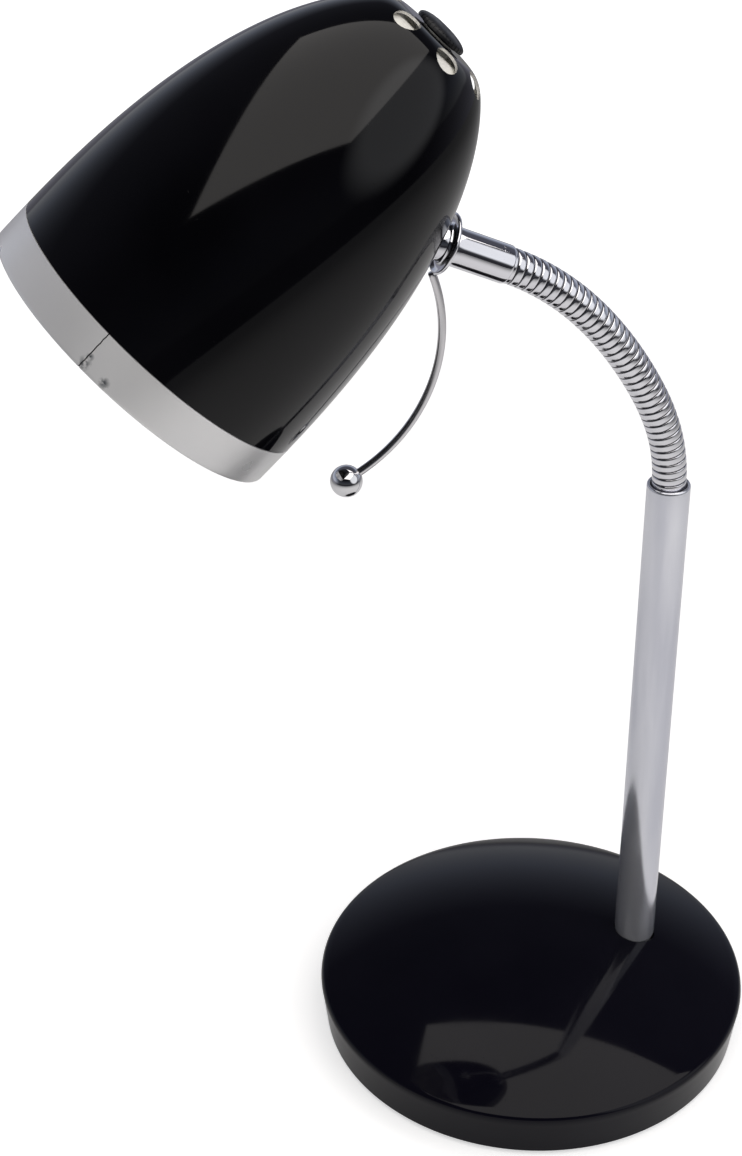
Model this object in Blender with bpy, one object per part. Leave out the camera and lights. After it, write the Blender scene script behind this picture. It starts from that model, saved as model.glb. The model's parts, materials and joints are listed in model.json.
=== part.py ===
"""Desk lamp with a flexible neck.

A domed round base holds an upright tube near its rear edge. A flexible neck rises out of the
tube, bends forward and carries a bullet-shaped shade with a bright rim band, a wire handle
with a ball, a lampholder with a rotary switch in the crown, and a bulb.

Units are metres, +Z is up. The origin is the centre of the face that the lamp rests on. The
lamp is symmetric about the plane y = 0: the tube stands at +X and the shade looks to -X.
"""

import math

import bmesh
import bpy
from mathutils import Matrix, Vector

MM = 0.001
GAP = 0.3 * MM  # clearance between pieces that seat on or pass through each other

# Base
BASE_RADIUS = 75.0 * MM
BASE_TAPER = 2.3 * MM  # how much narrower the foot is than the edge
BASE_EDGE_HEIGHT = 18.3 * MM
BASE_DOME_RADIUS = 200.0 * MM
BASE_WALL = 2.0 * MM
PAD_THICKNESS = 1.5 * MM
PAD_INSET = 2.0 * MM
PLATE_THICKNESS = 1.0 * MM
BALLAST_CLEARANCE = 8.7 * MM  # from the shell's inner wall at the foot
BALLAST_THICKNESS = 15.0 * MM
PLATE_SCREW_EDGE = 12.0 * MM  # from the ballast's edge
PLATE_SCREW_COUNT = 3
PLATE_SCREW_RADIUS = 1.7 * MM
PLATE_SCREW_HEAD_RADIUS = 3.4 * MM
PLATE_SCREW_HEAD_HEIGHT = 0.9 * MM
PLATE_SCREW_LENGTH = 9.0 * MM
CORD_HOLE_RADIUS = 3.2 * MM
CORD_HEIGHT = 9.4 * MM
GROMMET_WALL = 1.6 * MM
GROMMET_FLANGE = 1.2 * MM

# Upright tube and what holds it
STEM_OFFSET = 38.0 * MM
STEM_RADIUS = 7.0 * MM
STEM_WALL = 1.0 * MM
STEM_TOP = 213.0 * MM
STEM_NIPPLE_RADIUS = 5.0 * MM
NIPPLE_BORE = 2.6 * MM
STEM_NIPPLE_GRIP = 14.0 * MM
STEM_NUT_ACROSS = 16.0 * MM
STEM_NUT_HEIGHT = 3.5 * MM
STEM_WASHER_RADIUS = 9.6 * MM
WASHER_THICKNESS = 1.2 * MM
STEM_POCKET_RADIUS = 11.5 * MM
STEM_POCKET_DEPTH = 9.0 * MM

# Flexible neck: short links on ball joints, from the tube to the ferrule
NECK_RADIUS = 5.5 * MM
NECK_BORE = 3.0 * MM
NECK_LENGTH = 101.5 * MM
NECK_TURNS = (9.5, 12.5, 7.5, 5.5, 5.5, 9.0, 16.2)  # degrees, at each joint from the tube up
NECK_BALL_MARGIN = 1.0 * MM  # how much larger each joint's ball is than the neck
NECK_JOINT_LEAD = 5.0 * MM  # how far each joint's centre lies before the split it serves
NECK_GROOVE_DEPTH = 0.5 * MM
NECK_GROOVES = 3
NECK_INSERT = 12.0 * MM

# Ferrule, collar and handle
FERRULE_RADIUS = 5.9 * MM
FERRULE_LENGTH = 19.7 * MM
FERRULE_WALL = 1.0 * MM
FERRULE_SOCKET = 7.0 * MM
NECK_NIPPLE_RADIUS = 4.0 * MM
NECK_NIPPLE_GRIP = 9.0 * MM
COLLAR_RADIUS = 9.4 * MM
COLLAR_HUB_RADIUS = 5.6 * MM
COLLAR_FLANGE = 1.6 * MM
COLLAR_DEPTH = 6.2 * MM
NECK_WASHER_RADIUS = 7.2 * MM
NECK_NUT_ACROSS = 13.0 * MM
NECK_NUT_HEIGHT = 3.5 * MM
HANDLE_RADIUS = 1.25 * MM
HANDLE_DROP = 1.0 * MM
HANDLE_BEND_RADIUS = 53.0 * MM
HANDLE_BEND = 76.0  # degrees
HANDLE_TAIL = 6.0 * MM
HANDLE_LEAN = 19.0  # degrees from straight down where the rod leaves the collar
BALL_RADIUS = 5.0 * MM
BALL_SOCKET_DEPTH = 4.0 * MM

# Shade, in its own frame: depth is measured from the crown towards the mouth
SHADE_PITCH = 44.85  # degrees that the shade's axis points below level
SHADE_RADIUS = 50.6 * MM
SHADE_LENGTH = 124.8 * MM
SHADE_NOSE = 5.5 * MM  # how far beyond the crown the side curve would close
SHADE_CURVE = 2.4
SHADE_WALL = 0.8 * MM
CROWN_FLAT = 12.0 * MM
CROWN_DROP = 3.5 * MM
SIDE_STATION = 42.7 * MM  # depth at which the neck meets the shade
BAND_WIDTH = 12.4 * MM
BAND_WALL = 1.0 * MM
BAND_LAP = 7.0 * MM
VENT_COUNT = 7
VENT_RADIUS = 4.3 * MM
VENT_CIRCLE = 17.2 * MM
VENT_START = -143.0  # degrees round the axis from the neck's side

# Lampholder, switch and bulb
BUSH_RADIUS = 5.0 * MM
HOLDER_RADIUS = 14.0 * MM
HOLDER_TOP = 10.0 * MM
HOLDER_LENGTH = 44.0 * MM
HOLDER_WALL = 2.2 * MM
HOLDER_RING_RADIUS = 18.0 * MM
HOLDER_RING_HEIGHT = 6.0 * MM
SHIELD_RADIUS = 21.0 * MM
SHIELD_THICKNESS = 0.8 * MM
SHIELD_DEPTH = 6.0 * MM
CROWN_NUT_RADIUS = 6.0 * MM
CROWN_NUT_HEIGHT = 1.1 * MM
SPINDLE_RADIUS = 2.0 * MM
KNOB_RADIUS = 8.2 * MM
KNOB_HEIGHT = 2.9 * MM
KNOB_STANDOFF = 0.7 * MM
KNOB_RIBS = 16
CAP_RADIUS = 6.9 * MM
CAP_LENGTH = 22.0 * MM
CAP_DEPTH = 26.0 * MM  # depth of the cap's closed end below the crown
SOCKET_SHELL_WALL = 0.5 * MM
CAP_WALL = 0.4 * MM
BULB_RADIUS = 22.5 * MM
BULB_LENGTH = 50.0 * MM
BULB_WALL = 0.8 * MM

ROUND_LARGE = 40
ROUND_MEDIUM = 24
ROUND_SMALL = 16


# Helpers ----------------------------------------------------------------------------------


def clear_scene():
    for obj in list(bpy.data.objects):
        bpy.data.objects.remove(obj, do_unlink=True)


def finish(name, color, roughness, metallic):
    """A Principled material with one colour."""
    material = bpy.data.materials.new(name)
    material.use_nodes = True
    shader = material.node_tree.nodes["Principled BSDF"]
    shader.inputs["Base Color"].default_value = (*color, 1.0)
    shader.inputs["Roughness"].default_value = roughness
    shader.inputs["Metallic"].default_value = metallic
    material.diffuse_color = (*color, 1.0)
    return material


def empty(name, matrix, parent=None):
    """An empty that marks a joint or carries a group of pieces."""
    marker = bpy.data.objects.new(name, None)
    bpy.context.scene.collection.objects.link(marker)
    marker.parent = parent
    marker.matrix_basis = matrix
    return marker


def mesh_object(name, bm, material, parent=None, matrix=None):
    """Closes and smooths a bmesh, and puts it in the scene under its parent."""
    bmesh.ops.remove_doubles(bm, verts=bm.verts, dist=0.002 * MM)
    bmesh.ops.recalc_face_normals(bm, faces=bm.faces)
    if bm.calc_volume(signed=True) < 0:
        bmesh.ops.reverse_faces(bm, faces=bm.faces)
    mesh = bpy.data.meshes.new(name)
    bm.to_mesh(mesh)
    bm.free()
    mesh.shade_smooth()
    mesh.set_sharp_from_angle(angle=math.radians(35))
    obj = bpy.data.objects.new(name, mesh)
    bpy.context.scene.collection.objects.link(obj)
    if material:
        mesh.materials.append(material)
    obj.parent = parent
    obj.matrix_basis = matrix or Matrix.Identity(4)
    return obj


def turned(name, profile, steps, material, parent=None, matrix=None):
    """Spins a section of (radius, height) points round Z.

    A section that starts and ends on the axis closes at its poles. Any other section is a
    closed loop and gives a ring.
    """
    bm = bmesh.new()
    points = [bm.verts.new((radius, 0.0, height)) for radius, height in profile]
    edges = [bm.edges.new(pair) for pair in zip(points, points[1:])]
    on_axis = profile[0][0] == 0.0 and profile[-1][0] == 0.0
    if not on_axis:
        edges.append(bm.edges.new((points[-1], points[0])))
    bmesh.ops.spin(
        bm,
        geom=points + edges,
        axis=(0, 0, 1),
        cent=(0, 0, 0),
        steps=steps,
        angle=math.tau,
        use_merge=True,
    )
    return mesh_object(name, bm, material, parent, matrix)


def hexagon(name, across, bore, low, high, material, parent=None, matrix=None):
    """A hexagonal nut with a round bore, as one closed solid."""
    bm = bmesh.new()
    corner = across / math.sqrt(3)
    rings = []
    sides = 12
    for radius_of in (lambda k: corner if k % 2 == 0 else across / 2, lambda k: bore):
        for height in (low, high):
            ring = []
            for k in range(sides):
                angle = math.tau * k / sides
                radius = radius_of(k)
                ring.append(bm.verts.new((radius * math.cos(angle), radius * math.sin(angle), height)))
            rings.append(ring)
    outer_low, outer_high, inner_low, inner_high = rings
    for first, second in (
        (outer_low, outer_high),
        (outer_high, inner_high),
        (inner_high, inner_low),
        (inner_low, outer_low),
    ):
        for k in range(sides):
            after = (k + 1) % sides
            bm.faces.new((first[k], first[after], second[after], second[k]))
    return mesh_object(name, bm, material, parent, matrix)


def cutter(obj):
    """Marks a solid as a tool for a Boolean, which is not a piece of the lamp."""
    obj.hide_render = True
    obj.display_type = "WIRE"
    return obj


def cut(obj, tool, name):
    """Takes the tool's volume out of the piece."""
    modifier = obj.modifiers.new(name, "BOOLEAN")
    modifier.operation = "DIFFERENCE"
    modifier.solver = "EXACT"
    modifier.object = cutter(tool)


def peg(name, radius, low, high, steps, parent=None, matrix=None):
    """A plain round bar on Z, used as a cutter."""
    profile = [(0.0, low), (radius, low), (radius, high), (0.0, high)]
    return turned(name, profile, steps, None, parent, matrix)


def block(name, low, high, parent=None, matrix=None):
    """A box between two corners, used as a cutter."""
    bm = bmesh.new()
    size = [b - a for a, b in zip(low, high)]
    centre = [(a + b) / 2 for a, b in zip(low, high)]
    bmesh.ops.create_cube(bm, size=1.0, matrix=Matrix.Translation(centre) @ Matrix.Diagonal((*size, 1.0)))
    return mesh_object(name, bm, None, parent, matrix)


def wire(name, points, radius, material, parent=None, matrix=None):
    """A round bar swept along points, with flat ends."""
    curve = bpy.data.curves.new(name, "CURVE")
    curve.dimensions = "3D"
    curve.bevel_depth = radius
    curve.bevel_resolution = 2
    curve.use_fill_caps = True
    spline = curve.splines.new("POLY")
    spline.points.add(len(points) - 1)
    for point, place in zip(spline.points, points):
        point.co = (*place, 1.0)
    curve.materials.append(material)
    obj = bpy.data.objects.new(name, curve)
    bpy.context.scene.collection.objects.link(obj)
    obj.parent = parent
    obj.matrix_basis = matrix or Matrix.Identity(4)
    return obj


def offset_inwards(outline, distance):
    """The (radius, height) points moved by a wall thickness to the right of their direction."""
    moved = []
    for i, (radius, height) in enumerate(outline):
        before = outline[max(i - 1, 0)]
        after = outline[min(i + 1, len(outline) - 1)]
        along = Vector((after[0] - before[0], after[1] - before[1])).normalized()
        moved.append((radius + along.y * distance, height - along.x * distance))
    return moved


def frame(x_axis, y_axis, z_axis, origin):
    """A matrix with these axes as its columns."""
    columns = [Vector(axis).to_4d() for axis in (x_axis, y_axis, z_axis)]
    for column in columns:
        column.w = 0.0
    matrix = Matrix((*columns, Vector(origin).to_4d()))
    return matrix.transposed()


clear_scene()

black_gloss = finish("black_gloss", (0.012, 0.012, 0.016), 0.08, 0.0)
iron = finish("cast_iron", (0.16, 0.16, 0.17), 0.7, 0.8)
zinc_steel = finish("zinc_steel", (0.62, 0.63, 0.65), 0.35, 1.0)
chrome = finish("chrome", (0.80, 0.81, 0.84), 0.08, 1.0)
band_chrome = finish("band_chrome", (0.74, 0.73, 0.71), 0.16, 1.0)
brass = finish("brass", (0.75, 0.58, 0.27), 0.25, 1.0)
foam = finish("foam", (0.03, 0.03, 0.03), 0.95, 0.0)
rubber = finish("rubber", (0.02, 0.02, 0.02), 0.7, 0.0)
white_enamel = finish("white_enamel", (0.85, 0.84, 0.80), 0.4, 0.0)
holder_plastic = finish("holder_plastic", (0.82, 0.81, 0.76), 0.45, 0.0)
knob_plastic = finish("knob_plastic", (0.015, 0.015, 0.017), 0.4, 0.0)
bulb_opal = finish("bulb_opal", (0.93, 0.92, 0.89), 0.25, 0.0)


# Base: shell, ballast, bottom plate and pad -------------------------------------------------


def dome_height(radius):
    """Height of the domed top at a distance from its centre."""
    rim = math.sqrt(BASE_DOME_RADIUS**2 - BASE_RADIUS**2)
    return BASE_EDGE_HEIGHT + math.sqrt(BASE_DOME_RADIUS**2 - radius**2) - rim


def skirt_radius(height):
    """Outer radius of the skirt, which narrows towards the foot."""
    return foot_radius + BASE_TAPER * height / BASE_EDGE_HEIGHT


foot_radius = BASE_RADIUS - BASE_TAPER
ballast_radius = foot_radius - BASE_WALL - BALLAST_CLEARANCE
screw_circle = ballast_radius - PLATE_SCREW_EDGE
pad_top = PAD_THICKNESS
plate_low = pad_top + GAP
plate_top = plate_low + PLATE_THICKNESS
ballast_low = plate_top + GAP
ballast_top = ballast_low + BALLAST_THICKNESS
shell_low = pad_top + GAP

dome = [(BASE_RADIUS * k / 6, dome_height(BASE_RADIUS * k / 6)) for k in range(7)]
skirt_low = skirt_radius(shell_low)
outside = dome + [(skirt_low, shell_low)]
inside_edge = BASE_EDGE_HEIGHT - BASE_WALL
inside = [(radius, height - BASE_WALL) for radius, height in dome[:-1]]
inside.append((BASE_RADIUS - BASE_WALL, inside_edge))
inside.append((skirt_low - BASE_WALL, shell_low))
base_shell = turned("base_shell", outside + inside[::-1], 48, black_gloss)

stem_axis = Matrix.Translation((STEM_OFFSET, 0, 0))
cut(
    base_shell,
    peg("cut_shell_stem", STEM_RADIUS + GAP, ballast_top, 2 * dome_height(0), ROUND_MEDIUM, None, stem_axis),
    "stem_hole",
)

cord_axis = frame((0, 1, 0), (0, 0, 1), (1, 0, 0), (0, 0, CORD_HEIGHT))
grommet_neck = CORD_HOLE_RADIUS + GROMMET_WALL
cut(
    base_shell,
    peg("cut_shell_cord", grommet_neck + GAP, ballast_radius + GAP, 1.2 * BASE_RADIUS, ROUND_SMALL, None, cord_axis),
    "cord_hole",
)

ballast = turned(
    "ballast_weight",
    [(0.0, ballast_low), (ballast_radius, ballast_low), (ballast_radius, ballast_top), (0.0, ballast_top)],
    ROUND_LARGE,
    iron,
)
pocket_top = ballast_low + STEM_POCKET_DEPTH
below = -ballast_low
cut(
    ballast,
    peg("cut_ballast_pocket", STEM_POCKET_RADIUS, below, pocket_top, ROUND_MEDIUM, None, stem_axis),
    "nut_pocket",
)
cut(
    ballast,
    peg("cut_ballast_bore", STEM_NIPPLE_RADIUS + GAP, below, 2 * ballast_top, ROUND_SMALL, None, stem_axis),
    "nipple_bore",
)
channel_half = grommet_neck + GROMMET_FLANGE + 2 * GAP
cut(
    ballast,
    block(
        "cut_ballast_channel",
        (STEM_OFFSET, -channel_half, below),
        (1.2 * BASE_RADIUS, channel_half, CORD_HEIGHT + CORD_HOLE_RADIUS + GAP),
    ),
    "cord_channel",
)

plate_radius = foot_radius - BASE_WALL - 2 * GAP
bottom_plate = turned(
    "bottom_plate",
    [(0.0, plate_low), (plate_radius, plate_low), (plate_radius, plate_top), (0.0, plate_top)],
    ROUND_LARGE,
    zinc_steel,
)
pad_radius = foot_radius - PAD_INSET
base_pad = turned(
    "base_pad",
    [(0.0, 0.0), (pad_radius, 0.0), (pad_radius, pad_top), (0.0, pad_top)],
    ROUND_LARGE,
    foam,
)
for k in range(PLATE_SCREW_COUNT):
    angle = math.tau * (k + 0.5) / PLATE_SCREW_COUNT
    place = Matrix.Translation((screw_circle * math.cos(angle), screw_circle * math.sin(angle), 0))
    number = k + 1
    head_low = plate_low
    head_top = head_low + PLATE_SCREW_HEAD_HEIGHT
    shank_top = ballast_low + PLATE_SCREW_LENGTH
    turned(
        f"plate_screw_{number}",
        [
            (0.0, head_low),
            (PLATE_SCREW_HEAD_RADIUS, head_low),
            (PLATE_SCREW_RADIUS, head_top),
            (PLATE_SCREW_RADIUS, shank_top),
            (0.0, shank_top),
        ],
        12,
        zinc_steel,
        None,
        place,
    )
    cut(
        bottom_plate,
        turned(
            f"cut_plate_screw_{number}",
            [
                (0.0, below),
                (PLATE_SCREW_HEAD_RADIUS + 2 * GAP, below),
                (PLATE_SCREW_HEAD_RADIUS + 2 * GAP, head_low),
                (PLATE_SCREW_RADIUS + 2 * GAP, head_top),
                (PLATE_SCREW_RADIUS + 2 * GAP, 2 * plate_top),
                (0.0, 2 * plate_top),
            ],
            12,
            None,
            None,
            place,
        ),
        f"screw_hole_{number}",
    )
    cut(
        ballast,
        peg(
            f"cut_ballast_screw_{number}",
            PLATE_SCREW_RADIUS + GAP,
            below,
            shank_top + GAP,
            12,
            None,
            place,
        ),
        f"screw_hole_{number}",
    )

# The flanges are flat and the skirt is curved and tapered, so each seats at one edge.
flange_radius = grommet_neck + GROMMET_FLANGE
flange_out = skirt_radius(CORD_HEIGHT + flange_radius) + GAP
skirt_inside = skirt_radius(CORD_HEIGHT - flange_radius) - BASE_WALL
flange_in = math.sqrt(skirt_inside**2 - flange_radius**2) - GAP
turned(
    "cord_grommet",
    [
        (CORD_HOLE_RADIUS, flange_in - GROMMET_FLANGE),
        (flange_radius, flange_in - GROMMET_FLANGE),
        (flange_radius, flange_in),
        (grommet_neck, flange_in),
        (grommet_neck, flange_out),
        (flange_radius, flange_out),
        (flange_radius, flange_out + GROMMET_FLANGE / 2),
        (grommet_neck, flange_out + GROMMET_FLANGE),
        (CORD_HOLE_RADIUS, flange_out + GROMMET_FLANGE),
    ],
    ROUND_SMALL,
    rubber,
    None,
    cord_axis,
)


# Upright tube, with the nipple, washer and nut that clamp it to the ballast -----------------

stem_inner = STEM_RADIUS - STEM_WALL
stem_low = ballast_top + GAP
turned(
    "stem_tube",
    [
        (stem_inner, stem_low),
        (STEM_RADIUS, stem_low),
        (STEM_RADIUS, STEM_TOP - 0.4 * MM),
        (STEM_RADIUS - 0.4 * MM, STEM_TOP),
        (stem_inner, STEM_TOP),
    ],
    ROUND_MEDIUM,
    chrome,
    None,
    stem_axis,
)
washer_top = pocket_top - GAP
nut_top = washer_top - WASHER_THICKNESS - GAP
nut_low = nut_top - STEM_NUT_HEIGHT
turned(
    "stem_nipple",
    [
        (NIPPLE_BORE, nut_low - 2 * GAP),
        (STEM_NIPPLE_RADIUS, nut_low - 2 * GAP),
        (STEM_NIPPLE_RADIUS, stem_low + GAP),
        (stem_inner - GAP, stem_low + GAP),
        (stem_inner - GAP, stem_low + STEM_NIPPLE_GRIP),
        (NIPPLE_BORE, stem_low + STEM_NIPPLE_GRIP),
    ],
    ROUND_SMALL,
    zinc_steel,
    None,
    stem_axis,
)
turned(
    "stem_washer",
    [
        (STEM_NIPPLE_RADIUS + GAP, washer_top - WASHER_THICKNESS),
        (STEM_WASHER_RADIUS, washer_top - WASHER_THICKNESS),
        (STEM_WASHER_RADIUS, washer_top),
        (STEM_NIPPLE_RADIUS + GAP, washer_top),
    ],
    ROUND_SMALL,
    zinc_steel,
    None,
    stem_axis,
)
hexagon(
    "stem_nut",
    STEM_NUT_ACROSS,
    STEM_NIPPLE_RADIUS + 2 * GAP,
    nut_low,
    nut_top,
    zinc_steel,
    None,
    stem_axis,
)


# Flexible neck -------------------------------------------------------------------------------
# The joints lie along a path that starts straight up the tube and turns forward at each joint.


def heading(turned_by):
    """Direction of the neck's path after it has turned forward by this many degrees."""
    angle = math.radians(turned_by)
    return Vector((-math.sin(angle), 0.0, math.cos(angle)))


def neck_frame(turned_by, origin):
    """Z along the neck, X on the outside of its bend, Y across the lamp."""
    along = heading(turned_by)
    return frame(along.cross(Vector((0, 1, 0))) * -1, (0, 1, 0), along, origin)


joint_count = len(NECK_TURNS)
link_length = NECK_LENGTH / joint_count
first_joint = link_length / 2 - NECK_JOINT_LEAD
last_run = link_length / 2 + NECK_JOINT_LEAD
ball_radius = NECK_RADIUS + NECK_BALL_MARGIN
dome_edge = math.sqrt(ball_radius**2 - NECK_RADIUS**2)
socket_radius = ball_radius + GAP


def sphere_arc(radius, inner, outer, start, count=3):
    """Points of a ball about a joint's centre, from one distance off the axis to another."""
    points = []
    for k in range(count + 1):
        off_axis = inner + (outer - inner) * k / count
        points.append((off_axis, start + math.sqrt(radius**2 - off_axis**2)))
    return points


def grooved_side(low, high):
    """Outer side of a link from low to high, with evenly spaced shallow grooves."""
    side = [(NECK_RADIUS, low)]
    pitch = (high - low) / NECK_GROOVES
    for k in range(NECK_GROOVES - 1):
        middle = low + pitch * (k + 1)
        side.append((NECK_RADIUS, middle - NECK_GROOVE_DEPTH))
        side.append((NECK_RADIUS - NECK_GROOVE_DEPTH, middle))
        side.append((NECK_RADIUS, middle + NECK_GROOVE_DEPTH))
    side.append((NECK_RADIUS, high))
    return side


def dome_end(height):
    """Domed end of a link about the joint at this height, from its rim in to the bore."""
    return sphere_arc(ball_radius, NECK_BORE, NECK_RADIUS, height)[::-1]


def socket_end():
    """Hollow end of a link about the joint at its own origin, from the bore out to its rim."""
    return sphere_arc(socket_radius, NECK_BORE, NECK_RADIUS, 0.0)


joint = Vector((STEM_OFFSET, 0.0, STEM_TOP + first_joint))
root_place = neck_frame(0.0, (STEM_OFFSET, 0.0, STEM_TOP))
turned(
    "neck_root",
    [
        (NECK_BORE, -NECK_INSERT),
        (stem_inner - GAP, -NECK_INSERT),
        (stem_inner - GAP, GAP),
        (NECK_RADIUS, GAP),
    ]
    + dome_end(first_joint),
    ROUND_SMALL,
    chrome,
    None,
    root_place,
)

turned_by = 0.0
parent = None
for k in range(joint_count):
    turned_by += NECK_TURNS[k]
    place = neck_frame(turned_by, joint)
    pivot = empty(f"neck_joint_{k + 1}", place)
    if k < joint_count - 1:
        socket = socket_end()
        side = grooved_side(socket[-1][1], link_length + dome_edge)[1:-1]
        turned(
            f"neck_link_{k + 1}",
            socket + side + dome_end(link_length),
            ROUND_SMALL,
            chrome,
            pivot,
        )
        joint = joint + heading(turned_by) * link_length

head_pivot = pivot
neck_end = last_run


# Ferrule, collar and the fixing through the shade's side ------------------------------------
# These share the last joint's frame, with the neck's end at height neck_end.

ferrule_inner = FERRULE_RADIUS - FERRULE_WALL
nipple_hole = NECK_NIPPLE_RADIUS + GAP
turned(
    "neck_tip",
    socket_end()
    + [
        (NECK_RADIUS, neck_end - GAP),
        (ferrule_inner - GAP, neck_end),
        (ferrule_inner - GAP, neck_end + FERRULE_SOCKET - GAP),
        (NECK_BORE, neck_end + FERRULE_SOCKET - GAP),
    ],
    ROUND_SMALL,
    chrome,
    head_pivot,
)
ferrule_end = neck_end + FERRULE_LENGTH
turned(
    "neck_ferrule",
    [
        (ferrule_inner, neck_end + GAP),
        (FERRULE_RADIUS - 0.3 * MM, neck_end + GAP),
        (FERRULE_RADIUS, neck_end + GAP + 0.4 * MM),
        (FERRULE_RADIUS, ferrule_end),
        (nipple_hole, ferrule_end),
        (nipple_hole, neck_end + FERRULE_SOCKET + GAP),
        (ferrule_inner, neck_end + FERRULE_SOCKET + GAP),
    ],
    ROUND_SMALL,
    chrome,
    head_pivot,
)
shade_face = ferrule_end + COLLAR_DEPTH
collar_low = ferrule_end + GAP
turned(
    "handle_collar",
    [
        (nipple_hole, collar_low),
        (COLLAR_RADIUS - 0.8 * MM, collar_low),
        (COLLAR_RADIUS, collar_low + 0.7 * MM),
        (COLLAR_RADIUS, collar_low + COLLAR_FLANGE),
        (COLLAR_HUB_RADIUS, collar_low + COLLAR_FLANGE),
        (COLLAR_HUB_RADIUS, shade_face - 2 * GAP),
        (nipple_hole, shade_face - 2 * GAP),
    ],
    ROUND_MEDIUM,
    chrome,
    head_pivot,
)


def shade_radius(depth):
    """Outer radius of the shade's side at a depth below the crown."""
    share = (SHADE_LENGTH - depth) / (SHADE_LENGTH + SHADE_NOSE)
    return SHADE_RADIUS * math.sqrt(1.0 - share**SHADE_CURVE)


# The washer is flat and the shade curves away from the neck, so it stands off at its edge.
side_radius = shade_radius(SIDE_STATION)
edge_sag = side_radius - math.sqrt(side_radius**2 - NECK_WASHER_RADIUS**2)
washer_low = shade_face + SHADE_WALL + edge_sag + 3 * GAP
inner_nut_low = washer_low + WASHER_THICKNESS + GAP
inner_nut_top = inner_nut_low + NECK_NUT_HEIGHT
turned(
    "neck_washer",
    [
        (nipple_hole, washer_low),
        (NECK_WASHER_RADIUS, washer_low),
        (NECK_WASHER_RADIUS, washer_low + WASHER_THICKNESS),
        (nipple_hole, washer_low + WASHER_THICKNESS),
    ],
    ROUND_SMALL,
    zinc_steel,
    head_pivot,
)
hexagon(
    "neck_nut",
    NECK_NUT_ACROSS,
    NECK_NIPPLE_RADIUS + 2 * GAP,
    inner_nut_low,
    inner_nut_top,
    brass,
    head_pivot,
)
turned(
    "neck_nipple",
    [
        (NIPPLE_BORE, ferrule_end - NECK_NIPPLE_GRIP),
        (NECK_NIPPLE_RADIUS, ferrule_end - NECK_NIPPLE_GRIP),
        (NECK_NIPPLE_RADIUS, inner_nut_top + 3 * GAP),
        (NIPPLE_BORE, inner_nut_top + 3 * GAP),
    ],
    ROUND_SMALL,
    zinc_steel,
    head_pivot,
)


# Shade -----------------------------------------------------------------------------------------
# Its frame has Z out of the crown and X towards the neck, so a depth d is at height -d.

pitch = math.radians(SHADE_PITCH)
mouth_way = Vector((-math.cos(pitch), 0.0, -math.sin(pitch)))
neck_side = Vector((math.sin(pitch), 0.0, -math.cos(pitch)))
ferrule_way = heading(turned_by)
side_point = joint + ferrule_way * shade_face
crown = side_point - neck_side * side_radius - mouth_way * SIDE_STATION
crown_world = frame(neck_side, (0, 1, 0), mouth_way * -1, crown)
head_frame = empty("head_frame", neck_frame(turned_by, joint).inverted() @ crown_world, head_pivot)

band_top = SHADE_LENGTH - BAND_WIDTH
slope_step = 0.1 * MM
crown_slope = (shade_radius(CROWN_DROP + slope_step) - shade_radius(CROWN_DROP)) / slope_step
corner_radius = shade_radius(CROWN_DROP) - crown_slope * CROWN_DROP
outline = []
for k in range(4):
    share = k / 4
    radius = (
        (1 - share) ** 2 * CROWN_FLAT
        + 2 * share * (1 - share) * corner_radius
        + share**2 * shade_radius(CROWN_DROP)
    )
    outline.append((radius, -(share**2) * CROWN_DROP))
side_steps = 9
for k in range(side_steps + 1):
    depth = CROWN_DROP + (band_top - GAP - CROWN_DROP) * (k / side_steps) ** 1.4
    outline.append((shade_radius(depth), -depth))

bush_hole = BUSH_RADIUS + GAP
lip_radius = shade_radius(band_top) - BAND_WALL - GAP
lip_end = band_top + BAND_LAP
inner_outline = offset_inwards(outline, SHADE_WALL)
shell = [(bush_hole, 0.0)] + outline
shell += [
    (lip_radius, -(band_top - GAP)),
    (lip_radius, -lip_end),
    (lip_radius - SHADE_WALL, -lip_end),
    (lip_radius - SHADE_WALL, -(band_top - 3 * SHADE_WALL)),
]
shell += inner_outline[1:-1][::-1]
shell += [(CROWN_FLAT, -SHADE_WALL), (bush_hole, -SHADE_WALL)]
shade = turned("shade", shell, ROUND_LARGE, black_gloss, head_frame)

vent_slope = math.atan2(CROWN_DROP, shade_radius(CROWN_DROP) - CROWN_FLAT)
for k in range(VENT_COUNT):
    angle = math.radians(VENT_START) + math.tau * k / VENT_COUNT
    place = (
        Matrix.Rotation(angle, 4, "Z")
        @ Matrix.Translation((VENT_CIRCLE, 0, -CROWN_DROP / 2))
        @ Matrix.Rotation(vent_slope, 4, "Y")
    )
    tool = peg(f"cut_vent_{k + 1}", VENT_RADIUS, -CROWN_DROP, CROWN_DROP, 12, head_frame, place)
    cut(shade, tool, f"vent_{k + 1}")

to_head = crown_world.inverted() @ neck_frame(turned_by, joint)
side_tool = peg(
    "cut_shade_side",
    nipple_hole,
    shade_face - COLLAR_DEPTH,
    inner_nut_top,
    ROUND_SMALL,
    head_frame,
    to_head,
)
cut(shade, side_tool, "neck_hole")

band_rows = 3
band_outside = []
for k in range(band_rows + 1):
    depth = band_top + (BAND_WIDTH - 0.4 * MM) * k / band_rows
    band_outside.append((shade_radius(depth), -depth))
mouth_radius = shade_radius(SHADE_LENGTH)
turned(
    "rim_band",
    band_outside
    + [
        (mouth_radius - 0.4 * MM, -SHADE_LENGTH),
        (mouth_radius - 2.4 * MM, -SHADE_LENGTH),
        (mouth_radius - 2.4 * MM, -(SHADE_LENGTH - 0.8 * MM)),
        (shade_radius(lip_end) - BAND_WALL, -(SHADE_LENGTH - 0.8 * MM)),
        (shade_radius(lip_end) - BAND_WALL, -(lip_end + GAP)),
        (shade_radius(band_top) - BAND_WALL, -band_top),
    ],
    ROUND_LARGE,
    band_chrome,
    head_frame,
)


# Lampholder, heat shield, switch and bulb --------------------------------------------------

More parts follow.
